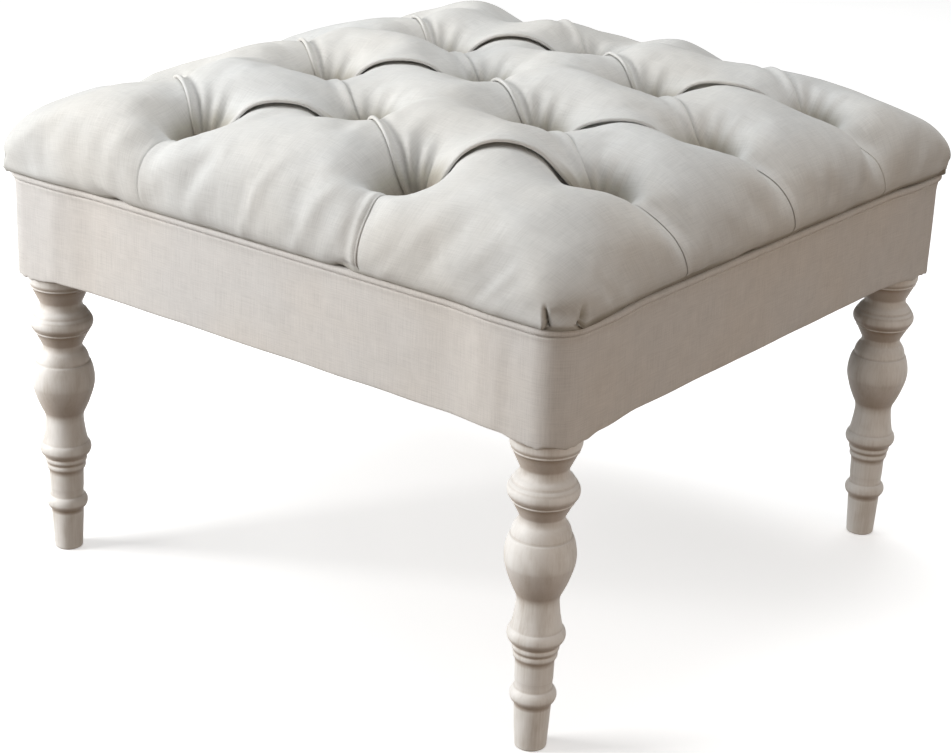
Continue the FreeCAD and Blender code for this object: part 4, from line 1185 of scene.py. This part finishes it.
def lathe_points():
    pts = [(11.3, 0.0)]
    for seg in LEG_SEGMENTS:
        last = pts[-1]
        if seg[0] == "L":
            L = math.hypot(seg[1][0] - last[0], seg[1][1] - last[1])
            n = max(1, int(round(L / 2.6)))
            pts += [(last[0] + (seg[1][0] - last[0]) * i / n, last[1] + (seg[1][1] - last[1]) * i / n) for i in range(1, n + 1)]
        else:
            L = math.hypot(seg[2][0] - last[0], seg[2][1] - last[1])
            n = max(4, int(round(L / 0.9)))
            pts += arc_points(last, seg[1], seg[2], n)
    return np.array(pts)


LATHE = lathe_points()
RING = 112


def block_radius(th):
    """Outline of the block as a radius: square 56, its outer corner (at 45 degrees) rounded by 22."""
    out = []
    for a in th:
        c, s = math.cos(a), math.sin(a)
        r = 28 / max(abs(c), abs(s))
        q = math.atan2(s, c)
        if c > 0 and s > 0:
            b = 6 * (c + s)
            r = min(r, b + math.sqrt(max(b * b - 72 + 484, 0))) if min(c, s) * r > 6 else r
        else:
            r = min(r, (54.8 / max(abs(c) + abs(s), 1e-9)))
        out.append(r)
    return np.array(out)


def turned_leg(name, sx, sy, turn, seed):
    r_ = np.random.default_rng(seed)
    th = np.linspace(0, 2 * math.pi, RING, endpoint=False)
    ph1, ph2 = r_.uniform(0, 6.28, 2)
    rings = []
    for r, z in LATHE:
        # hand turned: slightly out of round
        wob = 1 + 0.0035 * math.sin(z / 31 + ph1) * np.cos(2 * th + ph2)
        rr = r * wob
        rings.append(np.stack([rr * np.cos(th), rr * np.sin(th), np.full(RING, z)], 1))
    rb = block_radius(th)
    for f, dz in ((0.02, 0.35), (0.25, 0.9), (0.55, 2.0), (0.85, 3.9), (0.97, 5.4), (1.0, 7.0)):
        # square shoulder, lower at the faces and higher at the corners
        r = 27.6 + (rb - 27.6) * f
        over = np.clip((rb - 28.0) / 8.0, 0, 1)
        z = 262.6 + dz * (0.25 + 0.75 * over)
        rings.append(np.stack([r * np.cos(th), r * np.sin(th), z], 1))
    for z in (290, 320, 342.8):
        rings.append(np.stack([rb * np.cos(th), rb * np.sin(th), np.full(RING, float(z))], 1))
    rings.append(np.stack([(rb - 0.9) * np.cos(th), (rb - 0.9) * np.sin(th), np.full(RING, 344.0)], 1))
    rings = np.stack(rings)
    nr = len(rings)
    v = rings.reshape(-1, 3)
    v = np.concatenate([v, [[0, 0, 0.0], [0, 0, 344.0]]])
    faces = []
    for i in range(nr - 1):
        for j in range(RING):
            k = (j + 1) % RING
            faces.append((i * RING + j, i * RING + k, (i + 1) * RING + k, (i + 1) * RING + j))
    for j in range(RING):
        k = (j + 1) % RING
        faces.append((nr * RING, k, j))
        faces.append((nr * RING + 1, (nr - 1) * RING + j, (nr - 1) * RING + k))
    a = math.radians(turn)
    x = v[:, 0] * math.cos(a) - v[:, 1] * math.sin(a) + sx * 265
    y = v[:, 0] * math.sin(a) + v[:, 1] * math.cos(a) + sy * 265
    ob = new_object(name, np.stack([x, y, v[:, 2]], 1), faces)
    # coordinates for the grain: along the leg's own axis, turned differently on each leg
    g = math.radians(turn + 40 * seed)
    gx = v[:, 0] * math.cos(g) - v[:, 1] * math.sin(g) + 7 * seed
    gy = v[:, 0] * math.sin(g) + v[:, 1] * math.cos(g) - 5 * seed
    att = ob.data.attributes.new("grain", "FLOAT_VECTOR", "POINT")
    att.data.foreach_set("vector", (np.stack([gx, gy, v[:, 2] + 400 * seed], 1) * MM).astype(np.float32).ravel())
    # recess: 1 in the turned grooves, -1 on the raised edges
    rr = LATHE[:, 0]
    n = len(rr)
    s = np.concatenate([[0], np.cumsum(np.hypot(np.diff(LATHE[:, 0]), np.diff(LATHE[:, 1])))])
    rs = np.zeros(n)
    for i in range(n):
        w = np.exp(-((s - s[i]) / 2.2) ** 2)
        rs[i] = (w * rr).sum() / w.sum() - rr[i]
    rs = np.clip(rs / 0.55, -1, 1)
    rec = np.concatenate([np.repeat(rs, RING), np.zeros((nr - n) * RING), [0, 0]])
    att = ob.data.attributes.new("recess", "FLOAT", "POINT")
    att.data.foreach_set("value", rec.astype(np.float32))
    ob.data.update()
    return ob


LEGS = {}
for node, turn, sx, sy, seed in (("leg_rear_right", 0, 1, 1, 1), ("leg_rear_left", 90, -1, 1, 2),
                                 ("leg_front_left", 180, -1, -1, 3), ("leg_front_right", 270, 1, -1, 4)):
    LEGS[node] = turned_leg("turned_" + node, sx, sy, turn, seed)


# ---------------------------------------------------------------------------
# Covered buttons at the bottom of the pits
# ---------------------------------------------------------------------------
def covered_buttons():
    verts, faces, cl = [], [], []
    prof = [(0.0, 0.0), (9.6, 0.0), (11.0, 0.4), (11.8, 1.2), (12.0, 2.0), (11.7, 2.8), (10.9, 3.7), (9.4, 4.7),
            (7.4, 5.5), (5.0, 6.05), (2.5, 6.4), (0.0, 6.5)]
    n = 36
    for (c, r), pit in PITS.items():
        q = np.random.default_rng(100 + 7 * c + r + 30)
        x0, y0 = pit["true"]
        z0 = float(env(cloth_of(pit["true"]))[2]) - PIT_DEPTH + 1.15
        tilt = q.uniform(-0.05, 0.05, 2)
        ph = q.uniform(0, 6.28)
        base = len(verts)
        th = np.linspace(0, 2 * math.pi, n, endpoint=False)
        for rr, zz in prof[1:-1]:
            gather = 0.16 * np.cos(11 * th + ph) * smooth(rr, 8, 12) * (1 if zz < 3 else 0.3)
            rad_ = rr + gather
            px, py = rad_ * np.cos(th), rad_ * np.sin(th)
            pz = zz + tilt[0] * px + tilt[1] * py
            for a in range(n):
                verts.append((x0 + px[a], y0 + py[a], z0 + pz[a]))
                cl.append((x0 + px[a] * 1.1, y0 + py[a] * 1.1))
        m = len(prof) - 2
        for i in range(m - 1):
            for a in range(n):
                b = (a + 1) % n
                faces.append((base + i * n + a, base + i * n + b, base + (i + 1) * n + b, base + (i + 1) * n + a))
        bot, tp = len(verts), len(verts) + 1
        verts += [(x0, y0, z0), (x0, y0, z0 + 6.5)]
        cl += [(x0, y0), (x0, y0)]
        for a in range(n):
            b = (a + 1) % n
            faces.append((bot, base + b, base + a))
            faces.append((tp, base + (m - 1) * n + a, base + (m - 1) * n + b))
    ob = new_object("covered_buttons", verts, faces)
    att = ob.data.attributes.new("cloth", "FLOAT_VECTOR", "POINT")
    c3 = np.concatenate([np.array(cl) * MM, np.zeros((len(cl), 1))], 1)
    att.data.foreach_set("vector", c3.astype(np.float32).ravel())
    return ob


buttons = covered_buttons()


# ---------------------------------------------------------------------------
# Dust cover: thin cloth stapled under the rails, its edge folded in, a little slack
# ---------------------------------------------------------------------------
def dust_sheet():
    xs = np.unique(np.concatenate([np.linspace(-286, -262, 9), np.linspace(-262, 262, 106), np.linspace(262, 286, 9),
                                   [-236.0, 236.0]]))
    n = len(xs)
    X, Y = np.meshgrid(xs, xs, indexing="ij")
    edge = np.maximum(np.abs(X), np.abs(Y))
    slack = smooth(278 - edge, 0, 150)
    sag = 4.2 * slack * (0.8 + 0.2 * np.cos(X / 90) * np.cos(Y / 110)) + wavy(X, Y, 21, (70, 30), 0.35) * smooth(276 - edge, 0, 30)
    # shallow pulls between the staples, 62 mm apart
    along_ = np.where(np.abs(X) > np.abs(Y), Y, X)
    sag = sag + 0.5 * (0.5 - 0.5 * np.cos(2 * math.pi * along_ / 62.0)) * np.exp(-((edge - 262) / 14.0) ** 2)
    low = 267.45 - np.maximum(sag, 0)
    fold = 0.25 * smooth(edge, 271, 272.5)
    low = low - fold * (1 - smooth(edge, 275.5, 277) * (1 - smooth(edge, 280, 282)))
    high = 267.97 - np.maximum(sag, 0)
    keep = ~((np.abs(X[:-1, :-1] + X[1:, 1:]) / 2 > 236) & (np.abs(Y[:-1, :-1] + Y[1:, 1:]) / 2 > 236))
    bm = bmesh.new()
    lo = [bm.verts.new((x * MM, y * MM, z * MM)) for x, y, z in zip(X.ravel(), Y.ravel(), low.ravel())]
    hi = [bm.verts.new((x * MM, y * MM, z * MM)) for x, y, z in zip(X.ravel(), Y.ravel(), high.ravel())]
    count = {}
    for i in range(n - 1):
        for j in range(n - 1):
            if not keep[i, j]:
                continue
            a, b, c, d = i * n + j, (i + 1) * n + j, (i + 1) * n + j + 1, i * n + j + 1
            bm.faces.new((lo[a], lo[d], lo[c], lo[b]))
            bm.faces.new((hi[a], hi[b], hi[c], hi[d]))
            for e in ((a, b), (b, c), (c, d), (d, a)):
                count[e] = count.get(e, 0) + 1
    for (a, b), k in list(count.items()):
        if (b, a) not in count:
            bm.faces.new((lo[a], lo[b], hi[b], hi[a]))
    loose = [v for v in bm.verts if not v.link_faces]
    bmesh.ops.delete(bm, geom=loose, context="VERTS")
    bmesh.ops.recalc_face_normals(bm, faces=bm.faces)
    me = bpy.data.meshes.new("dust_cloth_sheet")
    bm.to_mesh(me)
    bm.free()
    me.polygons.foreach_set("use_smooth", [True] * len(me.polygons))
    ob = bpy.data.objects.new("dust_cloth_sheet", me)
    bpy.context.scene.collection.objects.link(ob)
    return ob


dust = dust_sheet()


# ---------------------------------------------------------------------------
# Materials
# ---------------------------------------------------------------------------
class Mat:
    def __init__(self, name):
        self.m = bpy.data.materials.new(name)
        self.m.use_nodes = True
        self.t = self.m.node_tree
        self.b = self.t.nodes["Principled BSDF"]

    def n(self, kind, **kw):
        nd = self.t.nodes.new(kind)
        for k, v in kw.items():
            if k.startswith("i_"):
                nd.inputs[k[2:].replace("_", " ")].default_value = v
            else:
                setattr(nd, k, v)
        return nd

    def link(self, a, b):
        self.t.links.new(a, b)

    def set(self, **kw):
        for k, v in kw.items():
            self.b.inputs[k.replace("_", " ")].default_value = v

    def math(self, op, a, b=None, clamp=False):
        nd = self.t.nodes.new("ShaderNodeMath")
        nd.operation = op
        nd.use_clamp = clamp
        for i, v in enumerate((a, b)):
            if v is None:
                continue
            if isinstance(v, (int, float)):
                nd.inputs[i].default_value = v
            else:
                self.link(v, nd.inputs[i])
        return nd.outputs[0]

    def ramp(self, fac, stops, interp="LINEAR"):
        nd = self.t.nodes.new("ShaderNodeValToRGB")
        nd.color_ramp.interpolation = interp
        while len(nd.color_ramp.elements) < len(stops):
            nd.color_ramp.elements.new(0.5)
        for e, (p, c) in zip(nd.color_ramp.elements, stops):
            c = (c, c, c) if isinstance(c, (int, float)) else c
            e.position = p
            e.color = (*c, 1) if len(c) == 3 else c
        self.link(fac, nd.inputs[0])
        return nd.outputs[0]

    def mix(self, fac, a, b, blend="MIX"):
        nd = self.t.nodes.new("ShaderNodeMix")
        nd.data_type = "RGBA"
        nd.blend_type = blend
        nd.clamp_result = False
        if isinstance(fac, (int, float)):
            nd.inputs[0].default_value = fac
        else:
            self.link(fac, nd.inputs[0])
        for s, v in ((6, a), (7, b)):
            if isinstance(v, tuple):
                nd.inputs[s].default_value = (*v, 1)
            else:
                self.link(v, nd.inputs[s])
        return nd.outputs[2]

    def noise(self, src, scale, detail=3.0, rough=0.55, stretch=(1, 1, 1), shift=(0, 0, 0)):
        mp = self.n("ShaderNodeMapping")
        mp.inputs["Scale"].default_value = stretch
        mp.inputs["Location"].default_value = shift
        self.link(src, mp.inputs[0])
        nz = self.n("ShaderNodeTexNoise", i_Scale=scale, i_Detail=detail, i_Roughness=rough)
        self.link(mp.outputs[0], nz.inputs["Vector"])
        return nz.outputs["Fac"]

    def bands(self, src, axis, scale, distortion=0.0, detail=1.0, dscale=1.0):
        w = self.n("ShaderNodeTexWave", wave_type="BANDS", bands_direction=axis, wave_profile="SIN",
                   i_Scale=scale, i_Distortion=distortion)
        w.inputs["Detail"].default_value = detail
        w.inputs["Detail Scale"].default_value = dscale
        self.link(src, w.inputs["Vector"])
        return w.outputs["Fac"]

    def bump(self, h, strength, dist):
        bp = self.n("ShaderNodeBump", i_Strength=strength, i_Distance=dist)
        self.link(h, bp.inputs["Height"])
        self.link(bp.outputs[0], self.b.inputs["Normal"])


def linen(name, tint=(0.640, 0.638, 0.622), use_attr=True):
    """Plain-weave linen: warp and weft threads 0.6 mm apart with slubs, faint colour drift, a soft nap."""
    M_ = Mat(name)
    if use_attr:
        src = M_.n("ShaderNodeAttribute", attribute_name="cloth").outputs["Vector"]
    else:
        src = M_.n("ShaderNodeTexCoord").outputs["Object"]
    obj = M_.n("ShaderNodeTexCoord").outputs["Object"]
    warp = M_.noise(src, 1.0, 2.0, 0.6, (1150, 42, 1), (1.3, 0.9, 0))       # long thin slubs, both ways
    weft = M_.noise(src, 1.0, 2.0, 0.6, (42, 1150, 1), (7.7, 5.4, 0))
    wx = M_.bands(src, "X", 507.0, 0.5, 1.0, 2.0)
    wy = M_.bands(src, "Y", 507.0, 0.5, 1.0, 2.0)
    over = M_.math("ABSOLUTE", M_.math("SUBTRACT", wx, wy))                  # over and under
    drift = M_.noise(obj, 7.0, 3.0, 0.5)
    mott = M_.noise(obj, 70.0, 4.0, 0.6)
    fib = M_.math("ADD", M_.math("MULTIPLY", warp, 0.5), M_.math("MULTIPLY", weft, 0.5))
    d = tuple(c * 0.90 for c in tint)
    l = tuple(min(c * 1.07, 1) for c in tint)
    col = M_.ramp(fib, [(0.33, d), (0.50, tint), (0.67, l)])
    warm = (1.012, 1.0, 0.982)
    cool = (0.988, 1.0, 1.012)
    col = M_.mix(1.0, col, M_.ramp(drift, [(0.38, cool), (0.62, warm)]), "MULTIPLY")
    col = M_.mix(1.0, col, M_.ramp(mott, [(0.3, 0.965), (0.7, 1.03)]), "MULTIPLY")
    col = M_.mix(1.0, col, M_.ramp(over, [(0.0, 0.93), (0.5, 1.0)]), "MULTIPLY")
    if use_attr:                          # painted shade: the colour darkened in the pits, along the seam and in the corner slits, where shadow falls
        shade_paint = M_.n("ShaderNodeAttribute", attribute_name="hollow").outputs["Fac"]
        col = M_.mix(1.0, col, M_.ramp(shade_paint, [(0.0, 1.0), (0.6, (0.66, 0.63, 0.565)), (1.0, (0.40, 0.35, 0.29))]), "MULTIPLY")
    M_.link(col, M_.b.inputs["Base Color"])
    M_.link(M_.math("ADD", M_.math("MULTIPLY", fib, 0.18), 0.78), M_.b.inputs["Roughness"])
    h = M_.math("ADD", M_.math("MULTIPLY", over, 0.8), M_.math("MULTIPLY", fib, 1.6))
    M_.bump(h, 0.30, 0.00045)
    M_.set(Specular_IOR_Level=0.18, Sheen_Weight=0.12, Sheen_Roughness=0.5, Sheen_Tint=(1.0, 0.99, 0.97, 1.0))
    return M_.m


def limed_wood():
    """Oiled grey-brown wood with white lime rubbed on in patches, lighter on the raised edges and darker brown in the
    turned grooves; painted shade on the undersides and painted light on the upward faces.
    """
    M_ = Mat("limed_wood")
    src = M_.n("ShaderNodeAttribute", attribute_name="grain").outputs["Vector"]
    rec = M_.n("ShaderNodeAttribute", attribute_name="recess").outputs["Fac"]
    rings = M_.bands(src, "X", 16.0, 9.0, 3.0, 0.9)
    grain = M_.noise(src, 1.0, 4.0, 0.62, (520, 520, 14))
    fine = M_.noise(src, 1.0, 3.0, 0.6, (1700, 1700, 40))
    patch = M_.noise(src, 38.0, 4.0, 0.6, (1, 1, 0.45))
    streak = M_.math("ADD", M_.math("MULTIPLY", grain, 0.62), M_.math("MULTIPLY", rings, 0.22))
    streak = M_.math("ADD", streak, M_.math("MULTIPLY", fine, 0.16))
    col = M_.ramp(streak, [(0.26, (0.49, 0.43, 0.37)), (0.42, (0.61, 0.57, 0.52)), (0.56, (0.71, 0.68, 0.64)), (0.74, (0.80, 0.78, 0.755))])
    # lime-white laid on in patches, more of it on the raised edges and less in the turned grooves; darker brown in the
    # turned grooves
    lime = M_.math("ADD", M_.math("MULTIPLY", rec, -0.35), M_.math("MULTIPLY", M_.math("SUBTRACT", patch, 0.5), 1.8))
    lime = M_.ramp(M_.math("ADD", lime, 0.55), [(0.2, 0.1), (0.85, 0.8)])
    col = M_.mix(lime, col, (0.86, 0.85, 0.83))
    groove_brown = M_.math("MULTIPLY", M_.math("MAXIMUM", rec, 0.0), M_.ramp(patch, [(0.40, 0.55), (0.62, 1.0)]))
    col = M_.mix(groove_brown, col, (0.36, 0.29, 0.23))
    # painted shade and painted light: the undersides of the turnings painted darker brown and the upward faces painted
    # lighter, after the way each face turns to the light
    geo = M_.n("ShaderNodeNewGeometry").outputs["Normal"]
    sep = M_.n("ShaderNodeSeparateXYZ")
    M_.link(geo, sep.inputs[0])
    below = M_.ramp(M_.math("MULTIPLY", sep.outputs[2], -1.0), [(0.0, 0.0), (0.10, 0.06), (0.24, 0.36), (0.40, 0.78), (0.60, 1.0)])
    above = M_.math("MULTIPLY", sep.outputs[2], 1.1, clamp=True)
    col = M_.mix(M_.math("MULTIPLY", below, 0.88), col, (0.33, 0.25, 0.187))
    col = M_.mix(M_.math("MULTIPLY", above, 0.55), col, (0.92, 0.915, 0.90))
    M_.link(col, M_.b.inputs["Base Color"])
    M_.link(M_.math("ADD", M_.math("MULTIPLY", streak, -0.2), 0.62), M_.b.inputs["Roughness"])
    M_.bump(M_.math("ADD", grain, M_.math("MULTIPLY", fine, 0.5)), 0.28, 0.0005)
    M_.set(Specular_IOR_Level=0.38, Coat_Weight=0.12, Coat_Roughness=0.42)
    return M_.m


def plain_wood(name, dark, light, stretch, scale=1.0, rough=0.6):
    M_ = Mat(name)
    src = M_.n("ShaderNodeTexCoord").outputs["Object"]
    g = M_.noise(src, scale, 4.0, 0.6, stretch)
    fine = M_.noise(src, scale * 3.5, 2.0, 0.6, stretch)
    p = M_.noise(src, 12.0, 2.0)
    col = M_.ramp(M_.math("ADD", M_.math("MULTIPLY", g, 0.75), M_.math("MULTIPLY", fine, 0.25)),
                  [(0.30, dark), (0.52, tuple((a + b) / 2 for a, b in zip(dark, light))), (0.70, light)])
    col = M_.mix(1.0, col, M_.ramp(p, [(0.3, (0.93, 0.92, 0.90)), (0.7, (1.05, 1.04, 1.03))]), "MULTIPLY")
    M_.link(col, M_.b.inputs["Base Color"])
    M_.link(M_.math("ADD", M_.math("MULTIPLY", g, 0.2), rough - 0.1), M_.b.inputs["Roughness"])
    M_.bump(fine, 0.25, 0.0003)
    M_.set(Specular_IOR_Level=0.35)
    return M_.m


def plywood():
    M_ = Mat("birch_plywood")
    src = M_.n("ShaderNodeTexCoord").outputs["Object"]
    ply = M_.bands(src, "Z", 104.0, 0.0)
    g = M_.noise(src, 1.0, 4.0, 0.6, (14, 320, 320))
    col = M_.ramp(g, [(0.3, (0.50, 0.38, 0.25)), (0.7, (0.70, 0.58, 0.42))])
    edge = M_.n("ShaderNodeNewGeometry").outputs["Normal"]
    sep = M_.n("ShaderNodeSeparateXYZ")
    M_.link(edge, sep.inputs[0])
    side = M_.math("SUBTRACT", 1.0, M_.math("ABSOLUTE", sep.outputs[2]), clamp=True)
    col = M_.mix(M_.math("MULTIPLY", side, M_.ramp(ply, [(0.4, 0.0), (0.6, 0.8)])), col, (0.34, 0.24, 0.15))
    M_.link(col, M_.b.inputs["Base Color"])
    M_.link(M_.math("ADD", M_.math("MULTIPLY", g, 0.2), 0.55), M_.b.inputs["Roughness"])
    M_.bump(g, 0.2, 0.0003)
    return M_.m


def metal(name, col, rough, scale):
    M_ = Mat(name)
    src = M_.n("ShaderNodeTexCoord").outputs["Object"]
    a = M_.noise(src, scale, 3.0)
    b = M_.noise(src, scale * 7, 2.0)
    M_.link(M_.ramp(a, [(0.3, tuple(c * 0.8 for c in col)), (0.7, tuple(min(1, c * 1.1) for c in col))]), M_.b.inputs["Base Color"])
    M_.link(M_.math("ADD", M_.math("MULTIPLY", b, 0.3), rough - 0.15), M_.b.inputs["Roughness"])
    M_.bump(b, 0.15, 0.00015)
    M_.set(Metallic=1.0)
    return M_.m


def fibres(name, dark, light, scale, stretch=(1, 1, 1), bump=0.5, dist=0.0008, rough=0.9, sheen=0.3):
    M_ = Mat(name)
    src = M_.n("ShaderNodeTexCoord").outputs["Object"]
    a = M_.noise(src, scale, 5.0, 0.7, stretch)
    b = M_.noise(src, scale * 4.0, 3.0, 0.7, (stretch[1], stretch[0], stretch[2]))
    h = M_.math("ADD", M_.math("MULTIPLY", a, 0.6), M_.math("MULTIPLY", b, 0.4))
    M_.link(M_.ramp(h, [(0.32, dark), (0.66, light)]), M_.b.inputs["Base Color"])
    M_.link(M_.math("ADD", M_.math("MULTIPLY", b, 0.15), rough - 0.08), M_.b.inputs["Roughness"])
    M_.bump(h, bump, dist)
    M_.set(Specular_IOR_Level=0.15, Sheen_Weight=sheen, Sheen_Roughness=0.5)
    return M_.m


def foam_material():
    M_ = Mat("open_foam")
    src = M_.n("ShaderNodeTexCoord").outputs["Object"]
    v = M_.n("ShaderNodeTexVoronoi", i_Scale=620.0)
    M_.link(src, v.inputs["Vector"])
    n_ = M_.noise(src, 30.0, 3.0)
    col = M_.ramp(v.outputs["Distance"], [(0.1, (0.52, 0.47, 0.33)), (0.6, (0.80, 0.76, 0.62))])
    M_.link(M_.mix(1.0, col, M_.ramp(n_, [(0.3, 0.93), (0.7, 1.04)]), "MULTIPLY"), M_.b.inputs["Base Color"])
    M_.link(M_.math("ADD", M_.math("MULTIPLY", n_, 0.1), 0.85), M_.b.inputs["Roughness"])
    M_.bump(v.outputs["Distance"], 0.5, 0.0006)
    return M_.m


linen_top = linen("linen_cover")
linen_band = linen("linen_band", tint=(0.704, 0.682, 0.660))
wood_leg = limed_wood()
rail_x = plain_wood("beech_rail_x", (0.47, 0.33, 0.21), (0.68, 0.52, 0.36), (16, 300, 300))
rail_y = plain_wood("beech_rail_y", (0.47, 0.33, 0.21), (0.68, 0.52, 0.36), (300, 16, 300))
brace_w = plain_wood("beech_brace", (0.49, 0.35, 0.23), (0.70, 0.54, 0.38), (120, 120, 300))
dowel_w = plain_wood("dowel_beech", (0.55, 0.41, 0.27), (0.74, 0.60, 0.43), (60, 60, 400))
ply = plywood()
screw_m = metal("zinc_screw", (0.70, 0.68, 0.62), 0.34, 300.0)
staple_m = metal("galvanised_staple", (0.62, 0.62, 0.63), 0.40, 400.0)
twine_m = fibres("waxed_twine", (0.55, 0.50, 0.40), (0.76, 0.72, 0.62), 900.0, (1, 1, 0.2))
cord_m = fibres("cotton_cord", (0.66, 0.63, 0.56), (0.84, 0.82, 0.76), 700.0, (1, 0.4, 1))
card_m = fibres("grey_card", (0.36, 0.34, 0.31), (0.52, 0.50, 0.46), 260.0, bump=0.2, dist=0.0002, sheen=0.0)
pad_m = fibres("polyester_wadding", (0.72, 0.72, 0.71), (0.90, 0.90, 0.89), 190.0, (1, 1, 0.3), bump=0.8, dist=0.002)
dust_m = fibres("spunbond_cloth", (0.055, 0.055, 0.058), (0.10, 0.10, 0.105), 480.0, (1, 0.35, 1), bump=0.4, dist=0.0004)
foam_m = foam_material()

cushion.data.materials.append(linen_top)
buttons.data.materials.append(linen_top)
apron.data.materials.append(linen_band)
welt.data.materials.append(linen_band)
dust.data.materials.append(dust_m)
for ob in LEGS.values():
    ob.data.materials.append(wood_leg)

for n, o in nodes.items():
    if n.startswith("leg"):
        m = plain_wood("limed_block_" + n, (0.50, 0.44, 0.38), (0.76, 0.73, 0.69), (300, 300, 14))
    elif n in ("rail_front", "rail_rear"):
        m = rail_x
    elif n in ("rail_left", "rail_right"):
        m = rail_y
    elif n.startswith("corner_brace"):
        m = brace_w
    elif n == "rail_dowels":
        m = dowel_w
    elif n == "deck_board":
        m = ply
    elif n in ("deck_screws", "brace_screws"):
        m = screw_m
    elif n in ("twine_staples", "cover_staples", "underside_staples"):
        m = staple_m
    elif n == "button_twines":
        m = twine_m
    elif n == "piping_cord":
        m = cord_m
    elif n == "tack_strip":
        m = card_m
    elif n in ("apron_padding", "wadding_layer"):
        m = pad_m
    elif n == "foam_cushion":
        m = foam_m
    elif n == "dust_cover":
        m = dust_m
    else:
        m = linen_top
    for i in range(len(o.material_slots)):
        o.material_slots[i].material = m

for piece, hides, slot in ((cushion, ("top_cover", "foam_cushion", "wadding_layer"), "cover_cloth"),
                           (apron, ("apron_cover",), "cover_cloth"), (welt, ("piping_cover",), "cover_cloth"),
                           (buttons, ("tuft_buttons",), "cover_cloth"), (dust, ("dust_cover",), "dust_cloth")):
    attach(piece, "root")
    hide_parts(*hides)
for node, ob in LEGS.items():
    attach(ob, "root")
    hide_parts(node)

# ---------------------------------------------------------------------------
# Floor, light, camera
# ---------------------------------------------------------------------------
floor = new_object("floor_plane", [(-6000, -6000, -0.3), (6000, -6000, -0.3), (6000, 6000, -0.3), (-6000, 6000, -0.3)], [(0, 1, 2, 3)], False)
fm = Mat("studio_floor")
fsrc = fm.n("ShaderNodeTexCoord").outputs["Object"]
fm.link(fm.ramp(fm.noise(fsrc, 3.0, 2.0), [(0.3, (0.925, 0.925, 0.925)), (0.7, (0.945, 0.945, 0.945))]), fm.b.inputs["Base Color"])
fm.set(Roughness=0.8, Specular_IOR_Level=0.0, Emission_Color=(1, 1, 1, 1), Emission_Strength=0.46)
floor.data.materials.append(fm.m)
floor.visible_diffuse = False      # the light that the floor throws back comes from the world's lower half
floor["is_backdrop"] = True

AZ, EL, ROLL = (math.radians(v) for v in (37.2954, 21.2714, 2.2988))
bk = Vector((math.sin(AZ) * math.cos(EL), -math.cos(AZ) * math.cos(EL), math.sin(EL)))
rt = Vector((math.cos(AZ), math.sin(AZ), 0))
upv = bk.cross(rt)
cx = math.cos(ROLL) * rt + math.sin(ROLL) * upv
cy = -math.sin(ROLL) * rt + math.cos(ROLL) * upv
cam = bpy.data.objects.new("camera_main", bpy.data.cameras.new("camera_main"))
bpy.context.scene.collection.objects.link(cam)
cam.data.sensor_fit = "HORIZONTAL"
cam.data.sensor_width = 36.0
cam.data.lens = 2177.5511 / 951 * 36.0
cam.data.clip_end = 60
loc = Vector((2.11606, -2.79058, 1.66866)) * 0.53
cam.matrix_world = Matrix(((cx.x, cy.x, bk.x, loc.x), (cx.y, cy.y, bk.y, loc.y), (cx.z, cy.z, bk.z, loc.z), (0, 0, 0, 1)))
bpy.context.scene.camera = cam


def area(name, azimuth, elevation, dist, size, level, color=(1, 1, 1), aim=(0, 0, 0.36)):
    """azimuth: degrees from straight in front (-Y) towards the left; level: light that it brings, 1 = white stays white."""
    a, e = math.radians(azimuth), math.radians(elevation)
    d = Vector((-math.sin(a) * math.cos(e), -math.cos(a) * math.cos(e), math.sin(e)))
    lt = bpy.data.lights.new(name, "AREA")
    lt.energy = level * math.pi ** 2 * dist ** 2
    lt.color = color
    lt.shape = "RECTANGLE"
    lt.size, lt.size_y = size
    o = bpy.data.objects.new(name, lt)
    o.location = Vector(aim) + d * dist
    o.rotation_euler = (-d).to_track_quat("-Z", "Y").to_euler()
    bpy.context.scene.collection.objects.link(o)
    return o


area("key_left", 44, 15, 2.6, (1.2, 1.1), 1.05, (1.0, 0.995, 0.985))
area("fill_right", -75, 5, 2.6, (1.6, 1.6), 0.20, (1.0, 0.80, 0.64))
area("top_soft", 150, 74, 2.4, (1.4, 1.4), 0.56, (0.97, 0.99, 1.0))
world = bpy.data.worlds.new("studio_world")
bpy.context.scene.world = world
world.use_nodes = True
wt = world.node_tree
wc = wt.nodes.new("ShaderNodeTexCoord")
ws = wt.nodes.new("ShaderNodeSeparateXYZ")
wr = wt.nodes.new("ShaderNodeValToRGB")
wm = wt.nodes.new("ShaderNodeMath")
wm.operation = "MULTIPLY_ADD"
wm.inputs[1].default_value = 0.5
wm.inputs[2].default_value = 0.5
wt.links.new(wc.outputs["Generated"], ws.inputs[0])
wt.links.new(ws.outputs[2], wm.inputs[0])
wt.links.new(wm.outputs[0], wr.inputs[0])
wr.color_ramp.elements[0].position = 0.0
wr.color_ramp.elements[0].color = (0.07, 0.05, 0.037, 1)
wr.color_ramp.elements[1].position = 0.80
wr.color_ramp.elements[1].color = (0.56, 0.565, 0.57, 1)
e_ = wr.color_ramp.elements.new(0.28)
e_.color = (0.16, 0.12, 0.09, 1)
e_ = wr.color_ramp.elements.new(0.47)
e_.color = (0.36, 0.285, 0.22, 1)
e_ = wr.color_ramp.elements.new(0.60)
e_.color = (0.40, 0.37, 0.33, 1)
wt.links.new(wr.outputs[0], wt.nodes["Background"].inputs[0])
wt.nodes["Background"].inputs[1].default_value = 0.68
bpy.context.scene.view_settings.view_transform = "Standard"

low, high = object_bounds()
